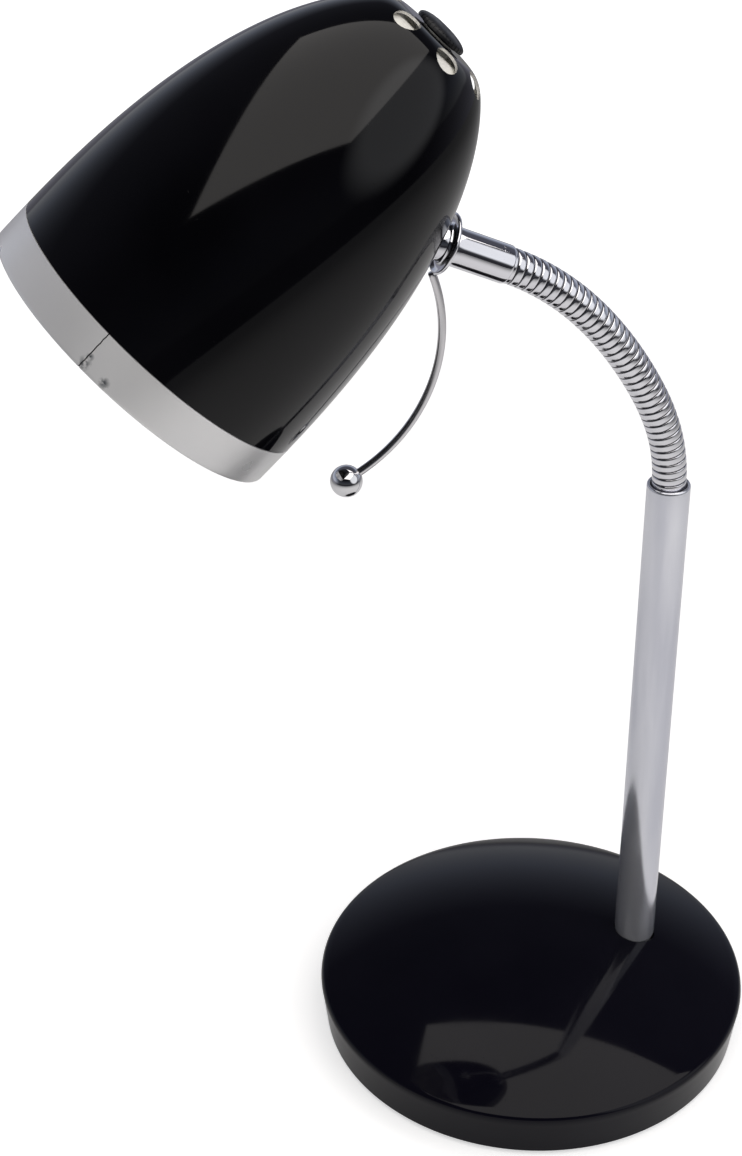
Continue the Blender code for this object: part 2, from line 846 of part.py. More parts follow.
turned(
    "heat_shield",
    [
        (bush_hole, -(SHIELD_DEPTH - SHIELD_THICKNESS)),
        (HOLDER_RADIUS, -(SHIELD_DEPTH - SHIELD_THICKNESS)),
        (SHIELD_RADIUS, -(SHIELD_DEPTH + 4 * SHIELD_THICKNESS)),
        (SHIELD_RADIUS, -(SHIELD_DEPTH + 5 * SHIELD_THICKNESS)),
        (HOLDER_RADIUS, -SHIELD_DEPTH),
        (bush_hole, -SHIELD_DEPTH),
    ],
    ROUND_MEDIUM,
    white_enamel,
    head_frame,
)
spindle_hole = SPINDLE_RADIUS + GAP
holder_low = HOLDER_TOP + HOLDER_LENGTH
shoulder = SHIELD_DEPTH + GAP
cap_top = CAP_DEPTH
socket_shell_outer = CAP_RADIUS + GAP + SOCKET_SHELL_WALL
seat_depth = cap_top - 3.2 * MM
bush_top = CROWN_NUT_HEIGHT + 0.2 * MM
turned(
    "holder_body",
    [
        (spindle_hole, bush_top),
        (BUSH_RADIUS, bush_top),
        (BUSH_RADIUS, -shoulder),
        (BUSH_RADIUS + 4.0 * MM, -shoulder),
        (HOLDER_RADIUS, -HOLDER_TOP),
        (HOLDER_RADIUS, -holder_low),
        (HOLDER_RADIUS - HOLDER_WALL, -holder_low),
        (HOLDER_RADIUS - HOLDER_WALL, -(seat_depth + 6.0 * MM)),
        (socket_shell_outer + 2 * GAP, -(seat_depth + 6.0 * MM)),
        (socket_shell_outer + 2 * GAP, -seat_depth),
        (spindle_hole, -seat_depth),
    ],
    ROUND_MEDIUM,
    holder_plastic,
    head_frame,
)
spacer_low = SHADE_WALL + GAP
turned(
    "crown_spacer",
    [
        (bush_hole, -(SHIELD_DEPTH - SHIELD_THICKNESS - GAP)),
        (bush_hole, -spacer_low),
        (CROWN_NUT_RADIUS, -spacer_low),
        (CROWN_NUT_RADIUS, -(SHIELD_DEPTH - SHIELD_THICKNESS - GAP)),
    ],
    ROUND_SMALL,
    holder_plastic,
    head_frame,
)
ring_top = holder_low - HOLDER_RING_HEIGHT - 4.0 * MM
turned(
    "holder_ring",
    [
        (HOLDER_RADIUS + GAP, -ring_top),
        (HOLDER_RING_RADIUS - 1.5 * MM, -ring_top),
        (HOLDER_RING_RADIUS, -(ring_top + 1.5 * MM)),
        (HOLDER_RING_RADIUS, -(ring_top + HOLDER_RING_HEIGHT)),
        (HOLDER_RADIUS + GAP, -(ring_top + HOLDER_RING_HEIGHT)),
    ],
    ROUND_MEDIUM,
    holder_plastic,
    head_frame,
)
crown_nut_low = GAP
turned(
    "crown_nut",
    [
        (bush_hole, crown_nut_low),
        (CROWN_NUT_RADIUS, crown_nut_low),
        (CROWN_NUT_RADIUS, CROWN_NUT_HEIGHT),
        (bush_hole, CROWN_NUT_HEIGHT),
    ],
    ROUND_SMALL,
    zinc_steel,
    head_frame,
)
shell_low_depth = cap_top + CAP_LENGTH - 4.0 * MM
turned(
    "contact_shell",
    [
        (CAP_RADIUS + GAP, -(seat_depth + GAP)),
        (socket_shell_outer, -(seat_depth + GAP)),
        (socket_shell_outer, -shell_low_depth),
        (CAP_RADIUS + GAP, -shell_low_depth),
    ],
    ROUND_SMALL,
    brass,
    head_frame,
)
turned(
    "contact_centre",
    [
        (0.0, -(cap_top - GAP)),
        (2.2 * MM, -(cap_top - GAP)),
        (3.6 * MM, -(seat_depth + 1.0 * MM)),
        (3.6 * MM, -(seat_depth + GAP)),
        (0.0, -(seat_depth + GAP)),
    ],
    12,
    brass,
    head_frame,
)
knob_low = KNOB_STANDOFF
knob_top = knob_low + KNOB_HEIGHT
spindle_top = knob_top - 1.0 * MM
turned(
    "switch_spindle",
    [
        (0.0, -(seat_depth - 3.0 * MM)),
        (SPINDLE_RADIUS, -(seat_depth - 3.0 * MM)),
        (SPINDLE_RADIUS, spindle_top),
        (0.0, spindle_top),
    ],
    12,
    brass,
    head_frame,
)
knob_bore = SPINDLE_RADIUS + GAP
nut_room = CROWN_NUT_RADIUS + 2 * GAP
nut_room_top = bush_top + GAP
turned(
    "switch_knob",
    [
        (knob_bore, nut_room_top),
        (nut_room, nut_room_top),
        (nut_room, knob_low),
        (KNOB_RADIUS, knob_low),
        (KNOB_RADIUS, knob_low + 0.45 * KNOB_HEIGHT),
        (0.86 * KNOB_RADIUS, knob_low + 0.75 * KNOB_HEIGHT),
        (0.55 * KNOB_RADIUS, knob_low + 0.94 * KNOB_HEIGHT),
        (0.0, knob_top),
        (0.0, spindle_top + GAP),
        (knob_bore, spindle_top + GAP),
    ],
    2 * KNOB_RIBS,
    knob_plastic,
    head_frame,
)
cap_low = cap_top + CAP_LENGTH
turned(
    "bulb_cap",
    [
        (0.0, -cap_top),
        (0.5 * CAP_RADIUS, -cap_top),
        (CAP_RADIUS, -(cap_top + 3.0 * MM)),
        (CAP_RADIUS, -(cap_low - 1.0 * MM)),
        (CAP_RADIUS + 0.8 * MM, -cap_low),
        (CAP_RADIUS - CAP_WALL, -cap_low),
        (CAP_RADIUS - CAP_WALL, -(cap_top + 3.0 * MM)),
        (0.5 * CAP_RADIUS, -(cap_top + CAP_WALL)),
        (0.0, -(cap_top + CAP_WALL)),
    ],
    ROUND_SMALL,
    zinc_steel,
    head_frame,
)
glass_top = cap_low + GAP
ball_centre = glass_top + BULB_LENGTH - BULB_RADIUS
neck_radius = CAP_RADIUS + 0.8 * MM
glass_outside = [(neck_radius, -glass_top), (neck_radius, -(glass_top + 3.0 * MM))]
for k in range(9):
    angle = math.radians(40 + 140 * k / 8)
    radius = BULB_RADIUS * math.sin(angle)
    glass_outside.append((radius if k < 8 else 0.0, -(ball_centre - BULB_RADIUS * math.cos(angle))))
glass_inside = offset_inwards(glass_outside, BULB_WALL)
glass_inside[0] = (neck_radius - BULB_WALL, -glass_top)
glass_inside[-1] = (0.0, -(ball_centre + BULB_RADIUS - BULB_WALL))
glass = glass_outside[::-1] + glass_inside
turned("bulb_glass", glass, ROUND_MEDIUM, bulb_opal, head_frame)


# Handle: a bent rod from the collar's lower edge, with a ball on its end --------------------

neck_out = ferrule_way.cross(Vector((0, 1, 0))) * -1
collar_edge = joint + ferrule_way * (collar_low + COLLAR_FLANGE / 2 + 0.35 * MM) - neck_out * COLLAR_RADIUS
lean = math.radians(HANDLE_LEAN)
way = Vector((math.sin(lean), 0.0, -math.cos(lean)))
start = collar_edge + way * (GAP + 0.6 * MM)
bend_start = start + way * HANDLE_DROP
inward = Vector((-way.z, 0.0, way.x)) * -1
bend_centre = bend_start + inward * HANDLE_BEND_RADIUS
rod_points = [start, bend_start]
bend_steps = 10
for k in range(1, bend_steps + 1):
    turn = math.radians(HANDLE_BEND) * k / bend_steps
    offset = -inward * math.cos(turn) + way * math.sin(turn)
    rod_points.append(bend_centre + offset * HANDLE_BEND_RADIUS)
turn = math.radians(HANDLE_BEND)
tail_way = way * math.cos(turn) + inward * math.sin(turn)
ball_middle = rod_points[-1] + tail_way * HANDLE_TAIL
socket_floor = BALL_RADIUS - BALL_SOCKET_DEPTH
rod_points.append(ball_middle - tail_way * (socket_floor + GAP))
from_pivot = neck_frame(turned_by, joint).inverted()
wire("handle_rod", rod_points, HANDLE_RADIUS, chrome, head_pivot, from_pivot)

ball_bore = HANDLE_RADIUS + GAP
ball_profile = [(0.0, socket_floor), (ball_bore, socket_floor)]
first_angle = math.asin(ball_bore / BALL_RADIUS)
ball_steps = 8
for k in range(ball_steps + 1):
    angle = first_angle + (math.pi - first_angle) * k / ball_steps
    radius = BALL_RADIUS * math.sin(angle) if k < ball_steps else 0.0
    ball_profile.append((radius, BALL_RADIUS * math.cos(angle)))
ball_world = frame(tail_way.cross(Vector((0, 1, 0))), (0, 1, 0), tail_way * -1, ball_middle)
turned("handle_ball", ball_profile, ROUND_SMALL, chrome, head_pivot, from_pivot @ ball_world)
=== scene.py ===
import json
import math

import bpy
from mathutils import Matrix, Vector


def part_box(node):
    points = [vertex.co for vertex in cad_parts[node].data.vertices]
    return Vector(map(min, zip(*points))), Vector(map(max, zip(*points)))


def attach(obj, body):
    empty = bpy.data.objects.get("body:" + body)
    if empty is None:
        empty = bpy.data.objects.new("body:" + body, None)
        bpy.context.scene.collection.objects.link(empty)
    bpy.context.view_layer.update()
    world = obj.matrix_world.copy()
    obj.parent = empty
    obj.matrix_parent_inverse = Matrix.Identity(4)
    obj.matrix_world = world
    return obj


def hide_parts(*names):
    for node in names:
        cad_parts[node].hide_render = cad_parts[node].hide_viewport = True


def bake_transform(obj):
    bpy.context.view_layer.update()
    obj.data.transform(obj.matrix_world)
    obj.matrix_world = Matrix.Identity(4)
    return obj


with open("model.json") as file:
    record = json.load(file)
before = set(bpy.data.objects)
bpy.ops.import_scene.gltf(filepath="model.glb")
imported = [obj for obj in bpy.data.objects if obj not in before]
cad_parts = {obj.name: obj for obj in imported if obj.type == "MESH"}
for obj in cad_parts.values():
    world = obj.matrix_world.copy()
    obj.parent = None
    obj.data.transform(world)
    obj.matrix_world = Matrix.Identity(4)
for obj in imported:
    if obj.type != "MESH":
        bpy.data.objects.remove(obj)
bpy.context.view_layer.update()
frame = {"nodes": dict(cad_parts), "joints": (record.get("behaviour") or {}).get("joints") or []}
MM = 0.001
joints = {joint["name"]: joint for joint in frame["joints"]}


# Camera. It looks down on the lamp from the front left, a little over half a metre away from the
# shade, with a long lens.

camera_data = bpy.data.cameras.new("camera")
camera_data.lens = 71.77
camera_data.sensor_width = 36
camera_data.shift_x = -0.0447
camera_data.shift_y = 0.0123
camera_data.clip_start = 0.05
camera_data.clip_end = 30
camera = bpy.data.objects.new("camera", camera_data)
bpy.context.collection.objects.link(camera)
camera_right = Vector((0.97306, -0.23030, 0.01105))
camera_up = Vector((0.11416, 0.52287, 0.84473))
camera_back = Vector((-0.20031, -0.82071, 0.53508))
camera.matrix_world = Matrix.Translation((-0.18738, -0.59737, 0.57240)) @ Matrix(
    (camera_right, camera_up, camera_back)
).transposed().to_4x4()
bpy.context.scene.camera = camera


# Floor and studio. A round white sweep whose paint darkens away from the lamp, a painted falloff of
# light that shows in reflections while its glow for camera rays keeps it white, one large soft box
# overhead, a low soft fill from the front, and a room that is bright behind the lamp and dark
# before it, so gloss paint stays black.

SWEEP_RADIUS = 1.5
SWEEP_NEAR = 0.30
SWEEP_FAR = 1.20
SWEEP_WHITE = 0.82
SWEEP_PAINTED_SHADE = 0.12
SWEEP_LIFT = 0.54
SWEEP_GLOSS_SHARE = 0.15


def worked(nodes, operation, kind="ShaderNodeMath"):
    """A maths node set to its operation."""
    node = nodes.new(kind)
    node.operation = operation
    return node


def mapped(nodes, from_range, to_range, soft=False):
    """A node that turns one range of values into another, clamped at both ends."""
    node = nodes.new("ShaderNodeMapRange")
    if soft:
        node.interpolation_type = "SMOOTHSTEP"
    node.inputs["From Min"].default_value, node.inputs["From Max"].default_value = from_range
    node.inputs["To Min"].default_value, node.inputs["To Max"].default_value = to_range
    return node


bpy.ops.object.select_all(action="DESELECT")
bpy.ops.mesh.primitive_circle_add(
    vertices=128, radius=SWEEP_RADIUS, fill_type="NGON", location=(0, 0, 0)
)
floor = bpy.context.object
floor.name = "floor"
sweep = bpy.data.materials.new("white_sweep")
sweep.use_nodes = True
nodes, links = sweep.node_tree.nodes, sweep.node_tree.links
nodes.clear()
sweep_out = nodes.new("ShaderNodeOutputMaterial")
sweep_place = nodes.new("ShaderNodeTexCoord")
sweep_distance = worked(nodes, "LENGTH", "ShaderNodeVectorMath")
# The sweep's paint falls from white near the lamp to dark far off: painted shade for light falling
# off with distance.
sweep_painted_falloff = mapped(nodes, (SWEEP_NEAR, SWEEP_FAR), (SWEEP_WHITE, SWEEP_PAINTED_SHADE), soft=True)
sweep_paint = nodes.new("ShaderNodeBsdfDiffuse")
sweep_glow = nodes.new("ShaderNodeEmission")
sweep_glow.inputs["Color"].default_value = (1, 1, 1, 1)
sweep_rays = nodes.new("ShaderNodeLightPath")
sweep_seen = worked(nodes, "MAXIMUM")
sweep_gloss = worked(nodes, "MULTIPLY")
sweep_gloss.inputs[1].default_value = SWEEP_GLOSS_SHARE
sweep_all = worked(nodes, "MAXIMUM")
sweep_rest = worked(nodes, "SUBTRACT")
sweep_rest.inputs[0].default_value = SWEEP_WHITE + SWEEP_LIFT
sweep_lift = worked(nodes, "MULTIPLY")
sweep_mix = nodes.new("ShaderNodeAddShader")
links.new(sweep_place.outputs["Object"], sweep_distance.inputs[0])
links.new(sweep_distance.outputs["Value"], sweep_painted_falloff.inputs["Value"])
links.new(sweep_painted_falloff.outputs[0], sweep_paint.inputs["Color"])
links.new(sweep_painted_falloff.outputs[0], sweep_rest.inputs[1])
links.new(sweep_rays.outputs["Is Camera Ray"], sweep_seen.inputs[0])
links.new(sweep_rays.outputs["Is Transmission Ray"], sweep_seen.inputs[1])
links.new(sweep_rays.outputs["Is Glossy Ray"], sweep_gloss.inputs[0])
links.new(sweep_seen.outputs[0], sweep_all.inputs[0])
links.new(sweep_gloss.outputs[0], sweep_all.inputs[1])
links.new(sweep_all.outputs[0], sweep_lift.inputs[0])
links.new(sweep_rest.outputs[0], sweep_lift.inputs[1])
links.new(sweep_lift.outputs[0], sweep_glow.inputs["Strength"])
links.new(sweep_paint.outputs[0], sweep_mix.inputs[0])
links.new(sweep_glow.outputs[0], sweep_mix.inputs[1])
links.new(sweep_mix.outputs[0], sweep_out.inputs["Surface"])
floor.data.materials.append(sweep)

room = bpy.data.worlds.new("studio")
bpy.context.scene.world = room
room.use_nodes = True
nodes, links = room.node_tree.nodes, room.node_tree.links
nodes.clear()
room_out = nodes.new("ShaderNodeOutputWorld")
room_way = nodes.new("ShaderNodeTexCoord")
room_split = nodes.new("ShaderNodeSeparateXYZ")
room_ramp = nodes.new("ShaderNodeValToRGB")
ROOM_BELOW = (0.42, 0.42, 0.50)
ROOM_HEIGHTS = (
    (0.03, (0.90, 0.93, 1.0)),
    (0.20, (0.66, 0.72, 0.88)),
    (0.50, (0.13, 0.135, 0.17)),
)
ROOM_TOP = (0.10, 0.10, 0.12)
ROOM_FRONT, ROOM_BACK = 0.06, 0.62
room_ramp.color_ramp.elements[0].position = 0.0
room_ramp.color_ramp.elements[0].color = (*ROOM_BELOW, 1)
room_ramp.color_ramp.elements[1].position = 1.0
room_ramp.color_ramp.elements[1].color = (*ROOM_TOP, 1)
for height, wall_colour in ROOM_HEIGHTS:
    stop = room_ramp.color_ramp.elements.new(height)
    stop.color = (*wall_colour, 1)
room_front = mapped(nodes, (-0.55, 0.35), (ROOM_FRONT, ROOM_BACK), soft=True)
room_light = nodes.new("ShaderNodeBackground")
room_white = nodes.new("ShaderNodeBackground")
room_white.inputs["Color"].default_value = (1, 1, 1, 1)
room_rays = nodes.new("ShaderNodeLightPath")
room_mix = nodes.new("ShaderNodeMixShader")
links.new(room_way.outputs["Generated"], room_split.inputs[0])
links.new(room_split.outputs["Z"], room_ramp.inputs[0])
links.new(room_split.outputs["Y"], room_front.inputs["Value"])
links.new(room_ramp.outputs[0], room_light.inputs["Color"])
links.new(room_front.outputs[0], room_light.inputs["Strength"])
SIDE_PANEL_WAY = Vector((0.66, -0.52, 0.42)).normalized()
SIDE_PANEL_STRENGTH = 0.95
room_side = worked(nodes, "DOT_PRODUCT", "ShaderNodeVectorMath")
room_side.inputs[1].default_value = SIDE_PANEL_WAY
room_panel = mapped(nodes, (0.84, 0.93), (0.0, SIDE_PANEL_STRENGTH), soft=True)
side_light = nodes.new("ShaderNodeBackground")
side_light.inputs["Color"].default_value = (0.97, 0.98, 1.0, 1)
room_sum = nodes.new("ShaderNodeAddShader")
links.new(room_way.outputs["Generated"], room_side.inputs[0])
links.new(room_side.outputs["Value"], room_panel.inputs["Value"])
links.new(room_panel.outputs[0], side_light.inputs["Strength"])
links.new(room_light.outputs[0], room_sum.inputs[0])
links.new(side_light.outputs[0], room_sum.inputs[1])
links.new(room_rays.outputs["Is Camera Ray"], room_mix.inputs[0])
links.new(room_sum.outputs[0], room_mix.inputs[1])
links.new(room_white.outputs[0], room_mix.inputs[2])
links.new(room_mix.outputs[0], room_out.inputs["Surface"])

SOFT_BOX = (1.8, 2.0)
SOFT_BOX_PLACE = (0.07, -0.47, 1.5)
SOFT_BOX_TURN = -23.5
SOFT_BOX_RADIANCE = 1.8
FILL_STRENGTH = 0.9
FILL_SPREAD = 60
FILL_WAY = Vector((-0.35, -0.90, 0.22))
box_data = bpy.data.lights.new("overhead_box", "AREA")
box_data.shape = "RECTANGLE"
box_data.size, box_data.size_y = SOFT_BOX
box_data.energy = SOFT_BOX_RADIANCE * math.pi * SOFT_BOX[0] * SOFT_BOX[1]
box_data.color = (1.0, 0.965, 0.93)
overhead_box = bpy.data.objects.new("overhead_box", box_data)
bpy.context.collection.objects.link(overhead_box)
overhead_box.location = SOFT_BOX_PLACE
overhead_box.rotation_euler = (0, 0, math.radians(SOFT_BOX_TURN))
fill_data = bpy.data.lights.new("soft_fill", "SUN")
fill_data.energy = FILL_STRENGTH
fill_data.angle = math.radians(FILL_SPREAD)
soft_fill = bpy.data.objects.new("soft_fill", fill_data)
bpy.context.collection.objects.link(soft_fill)
soft_fill.rotation_euler = FILL_WAY.to_track_quat("Z", "Y").to_euler()
soft_fill.visible_glossy = False
bpy.context.scene.view_settings.view_transform = "Standard"


# Base shell. A spun steel dome 150 mm across with a tapered skirt and a rounded shoulder, in
# black gloss enamel. The tube comes through a hole near the rear edge, the cord through the skirt.

BASE_RADIUS = 75.0 * MM
BASE_FOOT_RADIUS = 72.7 * MM
BASE_EDGE_HEIGHT = 18.3 * MM
BASE_DOME_RADIUS = 200.0 * MM
BASE_WALL = 2.0 * MM
BASE_SHOULDER = 1.3 * MM
STEM_OFFSET = 38.0 * MM
STEM_RADIUS = 7.0 * MM


def turned(name, rings, sides=160, joined=False):
    """A round piece on Z, raised ring by ring from (radius, height) pairs.

    The ends are filled, or with joined the last ring closes on the first, as a wall does.
    """
    bpy.ops.object.select_all(action="DESELECT")
    radius, height = rings[0]
    bpy.ops.mesh.primitive_circle_add(vertices=sides, radius=radius, location=(0, 0, height))
    piece = bpy.context.object
    piece.name = name
    bpy.ops.object.transform_apply(location=True, rotation=True, scale=True)
    bpy.ops.object.mode_set(mode="EDIT")
    bpy.ops.mesh.select_all(action="SELECT")
    for next_radius, next_height in rings[1:]:
        rise = (0, 0, next_height - height)
        bpy.ops.mesh.extrude_edges_move(TRANSFORM_OT_translate={"value": rise})
        grow = next_radius / radius
        bpy.ops.transform.resize(value=(grow, grow, 1))
        radius, height = next_radius, next_height
    bpy.ops.mesh.select_all(action="SELECT")
    if joined:
        bpy.ops.mesh.remove_doubles(threshold=0.002 * MM)
    else:
        bpy.ops.mesh.fill_holes(sides=0)
    bpy.ops.mesh.select_all(action="SELECT")
    bpy.ops.mesh.normals_make_consistent(inside=False)
    bpy.ops.object.mode_set(mode="OBJECT")
    return piece


def smooth(piece, angle=40):
    """Smooth shading everywhere except at edges sharper than angle."""
    bpy.ops.object.select_all(action="DESELECT")
    piece.select_set(True)
    bpy.context.view_layer.objects.active = piece
    bpy.ops.object.shade_smooth_by_angle(angle=math.radians(angle))


def apply_all(piece):
    """Applies every modifier in order."""
    bpy.ops.object.select_all(action="DESELECT")
    piece.select_set(True)
    bpy.context.view_layer.objects.active = piece
    for modifier in list(piece.modifiers):
        bpy.ops.object.modifier_apply(modifier=modifier.name)


def settle(piece, place):
    """Turns and moves a piece to its place, and leaves its object at the origin."""
    bpy.ops.object.select_all(action="DESELECT")
    piece.select_set(True)
    bpy.context.view_layer.objects.active = piece
    piece.matrix_world = place
    bpy.ops.object.transform_apply(location=True, rotation=True, scale=True)


def bored(piece, tool, lined=False):
    """Cuts the tool's volume out of the piece and removes the tool.

    With lined, the cut's walls take the tool's own material.
    """
    cut = piece.modifiers.new("cut", "BOOLEAN")
    cut.operation = "DIFFERENCE"
    cut.solver = "EXACT"
    if lined:
        cut.material_mode = "TRANSFER"
    cut.object = tool
    apply_all(piece)
    bpy.data.objects.remove(tool, do_unlink=True)


def finish_of(name, colour, roughness, metallic=0.0, coat=0.0):
    """A Principled material, returned with its nodes, its links and its shader."""
    material = bpy.data.materials.new(name)
    material.use_nodes = True
    shader = material.node_tree.nodes["Principled BSDF"]
    shader.inputs["Base Color"].default_value = (*colour, 1)
    shader.inputs["Roughness"].default_value = roughness
    shader.inputs["Metallic"].default_value = metallic
    shader.inputs["Coat Weight"].default_value = coat
    shader.inputs["Coat Roughness"].default_value = 0.03
    return material, material.node_tree.nodes, material.node_tree.links, shader


def grain(nodes, links, scale, detail, low, high, target, stretch=(1, 1, 1), contrast=(0.35, 0.65)):
    """Noise on object coordinates, mapped from low to high, into a shader's socket."""
    place = nodes.new("ShaderNodeTexCoord")
    turn = nodes.new("ShaderNodeMapping")
    turn.inputs["Scale"].default_value = stretch
    cloud = nodes.new("ShaderNodeTexNoise")
    cloud.inputs["Scale"].default_value = scale
    cloud.inputs["Detail"].default_value = detail
    spread = mapped(nodes, contrast, (low, high))
    links.new(place.outputs["Object"], turn.inputs["Vector"])
    links.new(turn.outputs[0], cloud.inputs["Vector"])
    links.new(cloud.outputs["Fac"], spread.inputs["Value"])
    if target is not None:
        links.new(spread.outputs[0], target)
    return spread.outputs[0]


def tinted(nodes, links, amount, first, second, target):
    """Mixes two colours by a value from 0 to 1 into a shader's socket."""
    mix = nodes.new("ShaderNodeMix")
    mix.data_type = "RGBA"
    mix.inputs["A"].default_value = (*first, 1)
    mix.inputs["B"].default_value = (*second, 1)
    links.new(amount, mix.inputs["Factor"])
    links.new(mix.outputs["Result"], target)


def relief(nodes, links, height, strength, distance, shader):
    """Adds a bump from a height value to the shader."""
    bump = nodes.new("ShaderNodeBump")
    bump.inputs["Strength"].default_value = strength
    bump.inputs["Distance"].default_value = distance
    before = shader.inputs["Normal"].links
    if before:
        links.new(before[0].from_socket, bump.inputs["Normal"])
    links.new(height, bump.inputs["Height"])
    links.new(bump.outputs[0], shader.inputs["Normal"])


def gloss_enamel(name, colour, second, ior):
    """Stoved gloss enamel: nearly mirror smooth, with a faint orange peel and a few dust nibs."""
    material, nodes, links, shader = finish_of(name, colour, 0.06)
    shader.inputs["IOR"].default_value = ior
    patch = grain(nodes, links, 22, 3, 0.0, 1.0, None)
    tinted(nodes, links, patch, colour, second, shader.inputs["Base Color"])
    grain(nodes, links, 55, 3, 0.035, 0.085, shader.inputs["Roughness"], contrast=(0.2, 0.8))
    peel = grain(nodes, links, 420, 2, 0.0, 1.0, None, contrast=(0.1, 0.9))
    relief(nodes, links, peel, 0.04, 0.00002, shader)
    nib = grain(nodes, links, 900, 1, 0.0, 1.0, None, contrast=(0.77, 0.83))
    relief(nodes, links, nib, 0.25, 0.00004, shader)
    return material


def dome_height(radius):
    """Height of the domed top at a distance from its middle."""
    rim = math.sqrt(BASE_DOME_RADIUS**2 - BASE_RADIUS**2)
    return BASE_EDGE_HEIGHT + math.sqrt(BASE_DOME_RADIUS**2 - radius**2) - rim


shell_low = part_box("base_shell")[0].z
skirt_low = BASE_FOOT_RADIUS + (BASE_RADIUS - BASE_FOOT_RADIUS) * shell_low / BASE_EDGE_HEIGHT
flat_end = BASE_RADIUS - BASE_SHOULDER
dome_radii = [0.6 * MM + (flat_end - 0.6 * MM) * k / 40 for k in range(41)]
rings = [(radius, dome_height(radius)) for radius in dome_radii]
shoulder_high = dome_height(flat_end)
shoulder_low = BASE_EDGE_HEIGHT - BASE_SHOULDER * 1.1
shoulder_edge = BASE_RADIUS - 0.14 * MM
turn_from, turn_to = math.radians(20), math.radians(84)
for k in range(1, 9):
    turn = math.radians(20 + 64 * k / 8)
    share = (math.sin(turn) - math.sin(turn_from)) / (math.sin(turn_to) - math.sin(turn_from))
    fall = (math.cos(turn_from) - math.cos(turn)) / (math.cos(turn_from) - math.cos(turn_to))
    height = shoulder_high + (shoulder_low - shoulder_high) * fall
    rings.append((flat_end + (shoulder_edge - flat_end) * share, height))
for k in range(1, 9):
    height = shoulder_low + (shell_low + 0.5 * MM - shoulder_low) * k / 8
    taper = (BASE_RADIUS - BASE_FOOT_RADIUS) * height / BASE_EDGE_HEIGHT
    rings.append((BASE_FOOT_RADIUS + taper - 0.02 * MM, height))
rings.append((skirt_low - 0.35 * MM, shell_low))
rings.append((skirt_low - BASE_WALL, shell_low))
rings.append((BASE_RADIUS - BASE_WALL - 0.4 * MM, BASE_EDGE_HEIGHT - BASE_WALL - 1.5 * MM))
for k in range(12):
    radius = (BASE_RADIUS - BASE_WALL - 1.5 * MM) * (1 - k / 12)
    rings.append((radius, dome_height(radius) - BASE_WALL))
rings.append((0.6 * MM, dome_height(0) - BASE_WALL))
base_dome = turned("base_dome", rings, sides=224)
hole_radius = STEM_RADIUS + 0.25 * MM
tube_hole = turned("tube_hole", [(hole_radius, 5 * MM), (hole_radius, 50 * MM)], sides=64)
settle(tube_hole, Matrix.Translation((STEM_OFFSET, 0, 0)))
bored(base_dome, tube_hole)
grommet_low, grommet_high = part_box("cord_grommet")
cord_height = (grommet_low.z + grommet_high.z) / 2
cord_way = Matrix.Translation((0, 0, cord_height)) @ Matrix.Rotation(math.radians(90), 4, "Y")
cord_hole = turned("cord_hole", [(5.1 * MM, 60 * MM), (5.1 * MM, 90 * MM)], sides=48)
settle(cord_hole, cord_way)
bored(base_dome, cord_hole)
smooth(base_dome, 30)
base_enamel = gloss_enamel("base_enamel", (0.0026, 0.0024, 0.0052), (0.0040, 0.0037, 0.0072), 1.25)
base_dome.data.materials.append(base_enamel)
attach(base_dome, "base")
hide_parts("base_shell")


# Foot pad, bottom plate, ballast and screws. A foam disc is stuck under a steel plate, which
# three countersunk screws hold to a cast iron weight.

pad_low, pad_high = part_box("base_pad")
pad_radius = pad_high.x
pad_rings = [(1.0 * MM, pad_low.z)]
pad_rings += [(1.0 * MM + (pad_radius - 1.5 * MM) * k / 10, pad_low.z) for k in range(1, 11)]
pad_rings += [(pad_radius - 0.15 * MM, pad_low.z + 0.15 * MM), (pad_radius, pad_low.z + 0.45 * MM)]
pad_rings += [(pad_radius, pad_high.z - 0.3 * MM), (pad_radius - 0.3 * MM, pad_high.z)]
pad_rings += [(1.0 * MM, pad_high.z)]
foot_pad = turned("foot_pad", pad_rings, sides=128)
smooth(foot_pad, 50)
pad_foam, nodes, links, shader = finish_of("pad_foam", (0.025, 0.025, 0.026), 0.95)
cells = grain(nodes, links, 1400, 2, 0.0, 1.0, None)
tinted(nodes, links, cells, (0.018, 0.018, 0.019), (0.05, 0.05, 0.05), shader.inputs["Base Color"])
relief(nodes, links, cells, 0.8, 0.0002, shader)
foot_pad.data.materials.append(pad_foam)
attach(foot_pad, "base")
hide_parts("base_pad")


def refinish(material, *names):
    """Gives CAD nodes a detailed material in place of their plain one."""
    for name in names:
        node = frame["nodes"][name]
        for place in node.material_slots:
            place.material = material


zinc_plate, nodes, links, shader = finish_of("zinc_plate", (0.55, 0.56, 0.58), 0.35, 1.0)
bloom = grain(nodes, links, 160, 3, 0.0, 1.0, None)
tinted(nodes, links, bloom, (0.50, 0.51, 0.54), (0.66, 0.66, 0.64), shader.inputs["Base Color"])
grain(nodes, links, 300, 4, 0.28, 0.48, shader.inputs["Roughness"])
refinish(zinc_plate, "bottom_plate", "plate_screw_1", "plate_screw_2", "plate_screw_3")
refinish(zinc_plate, "stem_nipple", "stem_washer", "stem_nut", "neck_washer", "neck_nipple")
cast_iron, nodes, links, shader = finish_of("cast_iron", (0.09, 0.09, 0.095), 0.75, 0.6)
sand = grain(nodes, links, 500, 5, 0.0, 1.0, None)
tinted(nodes, links, sand, (0.06, 0.06, 0.065), (0.13, 0.125, 0.12), shader.inputs["Base Color"])
relief(nodes, links, sand, 0.7, 0.0003, shader)
refinish(cast_iron, "ballast_weight")


# Cord grommet. A black rubber ring snapped into the rear of the skirt, with a rounded outer lip.

